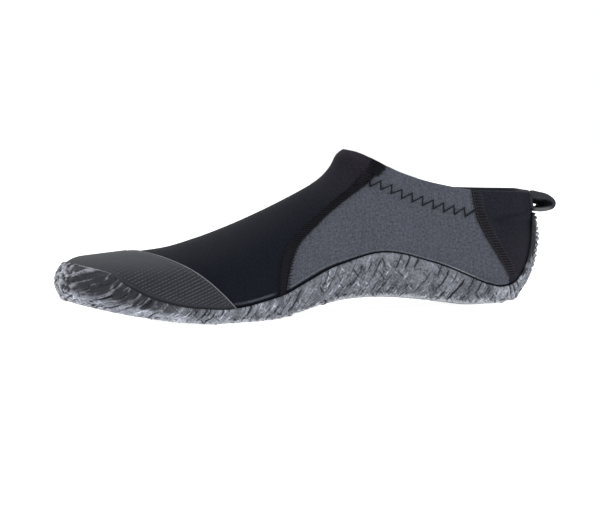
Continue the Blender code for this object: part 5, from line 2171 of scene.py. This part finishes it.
@dataclass
class SeamBand(Piece):
    """Cover-stitched band on the dark side of a seam, with threads across it."""

    line: SeamLine
    side: Side
    width: float
    overlap: float = 0.9
    height: float = 0.55
    sink: float = 0.25
    back: float = 0.6
    rows: int = 150
    columns: int = 9
    pitch: float = 1.7
    thread_radius: float = 0.24
    thread_sink: float = 0.2
    thread_bow: float = 0.5
    cord_radius: float = 0.28
    cord_lift: float = 0.15
    narrow: float = 0.6
    top_climb: float = 0.997
    tack_reach: float = 8.0
    tack_gap: float = 0.4
    tack_length: float = 8.5
    tack_aside: float = 0.16
    tack_lift: float = 0.25
    tack_pitch: float = 0.72
    tack_radius: float = 0.3
    tack_bow: float = 0.7
    seeds: tuple[int, int] = (7, 19)

    def places(self) -> tuple[Array, Array]:
        """around and climb of the band's grid, by share of its length and across it.

        Returns:
            The two grids.
        """
        share = np.linspace(0, 1, self.rows)[:, None]
        across = np.linspace(0, 1, self.columns)[None, :]
        sign = -1 if self.line is SeamLine.FRONT else 1
        width = sign * self.width * between(self.narrow, 1, ease(share, 0, 0.4))
        course, rim = self.last.seam_course, self.last.rim_line
        edge_x = course.curve(self.line.value + "_x", share)
        x = edge_x + width * across
        follow = rim.curve("z", x) - rim.curve("z", edge_x)
        z = course.curve(self.line.value + "_z", share) + follow * ease(share, 0.75, 1)
        around, climb = self.last.locate(self.side, x, z)
        return around, np.minimum(climb, self.top_climb)

    def build(self) -> Object:
        """Makes the band and its threads as one piece.

        Returns:
            The finished object.
        """
        around, climb = self.places()
        floor, out = self.last.surface(around, climb), self.last.normal(around, climb)
        across = np.linspace(0, 1, self.columns)
        crown = self.height * (1 - np.abs(2 * across - 1) ** 4)
        face = floor + out * (crown - self.sink)[None, :, None]
        weave = on_sheet(columns_length(floor[:, 0])[:, None], across * self.width)
        shape = MeshBuilder(self.row)
        outer = shape.grid(face, False, weave=weave)
        shape.close(outer, shape.corners(floor - out * self.back, weave=weave), False)
        name = f"seam_{self.line.value}_{self.side.value}_stitched"
        sheet = take_mesh(shape.build(name + "_band", [self.finishes.band], 80.0))
        middle = self.columns // 2
        way, up = unit(face[:, -1] - face[:, 0]), out[:, middle]
        path = floor[:, middle] + up * (self.height - self.thread_sink) - way * self.overlap / 2
        thread = self.finishes.stitch[self.line]
        ladder = self.work.lay(
            self.work.ladder, [(path, {"across": way, "out": up})], pitch=self.pitch,
            length=self.width + self.overlap, radius=self.thread_radius, bow=self.thread_bow,
            seed=self.seeds[0], material=thread,
        )
        even = {"swell": np.ones(self.rows)}
        rows = [(face[:, one] + out[:, one] * self.cord_lift, even) for one in (1, self.columns - 2)]
        cords = self.work.lay(self.work.cord, rows, radius=self.cord_radius, sides=5, material=thread)
        parts = [sheet, ladder, cords]
        if self.line is SeamLine.FRONT:
            parts.append(self.tack(path, way, up))
        return join_meshes(name, parts)

    def tack(self, path: Array, way: Array, out: Array) -> Mesh:
        """Close, longer threads that lock the seam's top end, with their ends over the quarter.

        Args:
            path: middle line of the threads.
            way: directions across the band.
            out: directions off the cloth.

        Returns:
            The threads' mesh.
        """
        left = columns_length(path)[-1] - columns_length(path)
        top = (left < self.tack_reach) & (left > self.tack_gap)
        way, out = way[top], out[top]
        line = path[top] - way * self.tack_length * self.tack_aside + out * self.tack_lift
        return self.work.lay(
            self.work.ladder, [(line, {"across": way, "out": out})], pitch=self.tack_pitch,
            length=self.tack_length, radius=self.tack_radius, bow=self.tack_bow, seed=self.seeds[1],
            material=self.finishes.thread,
        )


@dataclass
class HemStitch(Piece):
    """Zigzag thread that holds the hem of a quarter."""

    side: Side
    pitch: float = 6.4
    swing: float = 2.4
    lean: float = 1.9
    thread_radius: float = 0.66
    lift: float = 0.45
    count: int = 120
    course: Table = Table(
        "x z",
        (
            (-106.0, 73.3), (-95.7, 69.6), (-87.6, 65.3), (-77.3, 61.6), (-69.1, 58.4), (-57.7, 54.9),
            (-45.7, 51.9),
        ),
    )

    def build(self) -> Object:
        """Makes the thread.

        Returns:
            The finished object.
        """
        x = np.linspace(self.course.rows[0][0], self.course.rows[-1][0], self.count)
        around, climb = self.last.locate(self.side, x, self.course.curve("z", x))
        out = self.last.normal(around, climb)
        line = self.last.surface(around, climb) + out * self.lift
        up = unit(np.cross(out, unit(np.gradient(line, axis=0))))
        mesh = self.work.lay(
            self.work.zigzag, [(line, {"across": up * np.sign(up[:, 2:])})], pitch=self.pitch,
            swing=self.swing, lean=self.lean, radius=self.thread_radius, material=self.finishes.thread,
        )
        return add_object(f"hem_stitch_{self.side.value}", mesh)


@dataclass
class Insole(Piece):
    """Cloth-faced foam insole with a rolled edge."""

    thickness: float = 3.0
    inset: float = 3.7
    columns: int = 320
    rows: int = 16

    def build(self) -> Object:
        """Makes the insole.

        Returns:
            The finished object.
        """
        last = self.last
        around = ring(np.linspace(0, 1, self.columns // 2 + 1))
        shares = np.sin(np.linspace(0, 1, self.rows) * np.pi / 2)
        plan = filled(last.feather(around) - last.outward(around) * self.inset, shares)
        low = last.base(plan)
        roll = self.thickness * (1 - 0.5 * ease(shares, 0.9, 1.0) ** 2)
        shape = MeshBuilder(self.row)
        top = shape.grid(lifted(plan, low + roll))
        bottom = shape.corners(lifted(plan, low))
        shape.skin(bottom[:, ::-1], True)
        shape.skin(np.stack([top[:, -1], bottom[:, -1]], 1), True)
        return shape.build("insole_foam", [self.finishes.foam])


@dataclass
class PullLoop(Piece):
    """Woven tape folded into a loop at the back of the collar."""

    width: float = 22.0
    far_squash: float = 0.35
    far_reach: float = 0.72
    squash_level: float = 52.5
    levels: tuple[float, float, int] = (40.0, 70.0, 61)
    steps: int = 120
    columns: int = 25
    path: Table = Table(
        "step x z follows thick",
        (
            (0, 0.7, 60.7, 1.0, 4.6), (1, 4.6, 59.8, 0.6, 5.2), (2, 8.8, 58.8, 0.25, 4.0),
            (3, 11.8, 55.9, 0.0, 2.8), (4, 10.7, 52.8, 0.0, 2.6), (5, 6.6, 51.7, 0.2, 2.6),
            (6, 2.8, 51.8, 0.6, 2.4), (7, 0.9, 53.2, 1.0, 1.8), (8, 0.6, 56.0, 1.0, 1.6),
        ),
    )

    def middle_line(self) -> Array:
        """Closed smooth curve through the path: x, z, how far it follows the heel and its thickness.

        Returns:
            Four numbers for each step.
        """
        knots = np.array(self.path.rows)[:, 1:]
        u = np.arange(self.steps) * len(knots) / self.steps
        i = u.astype(int)
        f = (u - i)[:, None]
        p = [knots[(i + k) % len(knots)] for k in (-1, 0, 1, 2)]
        return (
            p[1]
            + (p[2] - p[0]) * f / 2
            + (p[0] - 2.5 * p[1] + 2 * p[2] - p[3] / 2) * f**2
            + (1.5 * (p[1] - p[2]) + (p[3] - p[0]) / 2) * f**3
        )

    def heel_curve(self, y: Array, z: float) -> Array:
        """x of the upper's outer face at places across the back of the heel, at a height.

        Args:
            y: places across the heel.
            z: the height.

        Returns:
            One x for each place.
        """
        columns = self.last.surface(np.linspace(0.9, 1.1, 121)[:, None], np.linspace(0, 1, 61)[None, :])
        level_x, level_y = ([np.interp(z, one[:, 2], one[:, axis]) for one in columns] for axis in (0, 1))
        return np.interp(y, level_y, level_x)

    def build(self) -> Object:
        """Makes the loop.

        Returns:
            The finished object.
        """
        line = self.middle_line()
        way = np.roll(line, -1, 0)[:, :2] - np.roll(line, 1, 0)[:, :2]
        normal = unit(np.stack([way[:, 1], -way[:, 0]], -1))
        across = np.linspace(-1, 1, self.columns)
        y = across * self.width / 2
        flat = line[:, 3:4] / 2 * (1 - 0.3 * np.abs(across) ** 8)
        levels = np.linspace(*self.levels)
        heel_at = np.array([self.heel_curve(y, level) for level in levels])
        lengths = columns_length(np.concatenate([line[:, :2], line[:1, :2]]))[:-1]
        turn = np.arange(self.steps) * len(self.path.rows) / self.steps
        # Painted light: the lower run is paler where it catches light
        worn = (ease(turn, 3.9, 4.8) * fall(turn, 6.0, 6.8))[:, None] * fall(across, -0.4, 0.6)
        weave, far = on_sheet(y, lengths[:, None]), ease(across, -1.0, 0.9)
        shape, faces = MeshBuilder(self.row), []
        for sign in (1, -1):
            x = line[:, 0, None] * (1 + (self.far_reach - 1) * far) - sign * normal[:, 0, None] * flat
            over = (line[:, 1, None] - self.squash_level) * (1 - self.far_squash * far)
            z = self.squash_level + over - sign * normal[:, 1, None] * flat
            heel = np.stack([np.interp(z[:, k], levels, heel_at[:, k]) for k in range(self.columns)], -1)
            top = heel.max(1, keepdims=True)
            points = np.stack([x + top + (heel - top) * line[:, 2:3], np.broadcast_to(y, x.shape), z], -1)
            faces.append(shape.corners(points, weave=weave, worn=worn))
        shape.skin(faces[0], True)
        shape.close(*faces, True)
        return shape.build("pull_loop_tape", [self.finishes.tape], 50.0)


@dataclass
class Studio:
    """Camera at the photograph's angle, a pale floor and soft light."""

    row: RowFrame
    width_px: int = 600
    focal_px: float = 2021.0
    distance: float = 1150.0
    azimuth: float = -11.0
    elevation: float = 3.0
    roll: float = -2.979
    aim: tuple[float, float, float] = (-143.717, -10.0, 27.795)
    sensor: float = 36.0
    clip: Pair = (0.05, 50.0)
    white: Colour = (1.0, 1.0, 1.0)
    sky_strength: float = 1.02
    floor_half: float = 6.0
    floor_z: float = -0.0004
    floor_grey: Colour = (0.50, 0.50, 0.50)
    floor_glow: float = 0.93
    lamp_aim: tuple[float, float, float] = (0.0, 0.0, 0.04)

    def camera(self) -> None:
        """Places the camera."""
        turns = ((self.azimuth, "Z"), (90 - self.elevation, "X"), (self.roll, "Z"))
        turned = Matrix()
        for angle, axis in turns:
            turned = turned @ Matrix.Rotation(np.radians(angle), 4, axis)
        back = np.array(turned.to_3x3().col[2])
        eye = self.row.place(np.array(self.aim) + back * self.distance)
        data = bpy.data.cameras.new("camera")
        data.sensor_width = self.sensor
        data.lens = self.focal_px / self.width_px * self.sensor
        data.clip_start, data.clip_end = self.clip
        camera = add_object("camera", data)
        camera.matrix_world = Matrix.Translation(Vector(eye)) @ turned
        bpy.context.scene.camera = camera

    def floor(self) -> None:
        """Lays a flat, pale floor that glows a little, so that it shows white."""
        mesh, half = bpy.data.meshes.new("floor"), self.floor_half
        corners = [(-half, -half, 0), (half, -half, 0), (half, half, 0), (-half, half, 0)]
        mesh.from_pydata(corners, [], [(0, 1, 2, 3)])
        paint = Paint("floor_paper", 0.9, 0.1)
        paint.feed(paint.sockets["Base Color"], self.floor_grey)
        paint.feed(paint.sockets["Emission Color"], self.white)
        paint.feed(paint.sockets["Emission Strength"], self.floor_glow)
        mesh.materials.append(paint.material)
        floor = add_object("floor", mesh)
        floor.location.z = self.floor_z

    def lamp(self, name: str, place: tuple, size: Pair, power: float, colour: Colour) -> None:
        """Soft panel that faces the shoe.

        Args:
            name: the lamp's name.
            place: where it hangs, in metres.
            size: width and height in metres.
            power: in watts.
            colour: of its light.
        """
        data = bpy.data.lights.new(name, "AREA")
        data.shape, data.size, data.size_y = "RECTANGLE", *size
        data.energy, data.color = power, colour
        lamp = add_object(name, data)
        lamp.location = place
        lamp.rotation_euler = (Vector(self.lamp_aim) - Vector(place)).to_track_quat("-Z", "Y").to_euler()

    def build(self) -> None:
        """Sets the stage."""
        scene = bpy.context.scene
        scene.view_settings.view_transform = "Standard"
        scene.world = bpy.data.worlds.new("studio")
        scene.world.use_nodes = True
        sky = scene.world.node_tree.nodes["Background"]
        sky.inputs["Color"].default_value = (*self.white, 1.0)
        sky.inputs["Strength"].default_value = self.sky_strength
        self.floor()
        self.lamp("overhead", (-0.15, 0.25, 1.3), (1.6, 1.2), 9.0, self.white)
        self.lamp("front_fill", (0.7, -1.3, 0.7), (1.2, 0.9), 6.5, (0.97, 0.98, 1.0))
        self.camera()


def main() -> None:
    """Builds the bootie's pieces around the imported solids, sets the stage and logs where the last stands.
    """
    logging.basicConfig(level=logging.INFO, format="%(name)s %(message)s")
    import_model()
    last = Last()
    row = RowFrame.from_solids(last)
    LOG.info("last stands at %s", np.round(row.shift, 4).tolist())
    kit = (last, row, Finishes(), ThreadWork(row))
    single = {"outsole": Outsole, "upper": Upper, "toe_cap": ToeCap, "insole": Insole, "pull_loop": PullLoop}
    for name, piece in single.items():
        settle(piece(*kit).build(), name, name)
    for side in Side:
        for line, width in SEAM_WIDTHS.items():
            settle(SeamBand(*kit, line, side, width).build(), "seam", f"seam_{line.value}_{side.value}")
        settle(HemStitch(*kit, side).build(), "seam")
    Studio(row).build()


if __name__ == "__main__":
    main()
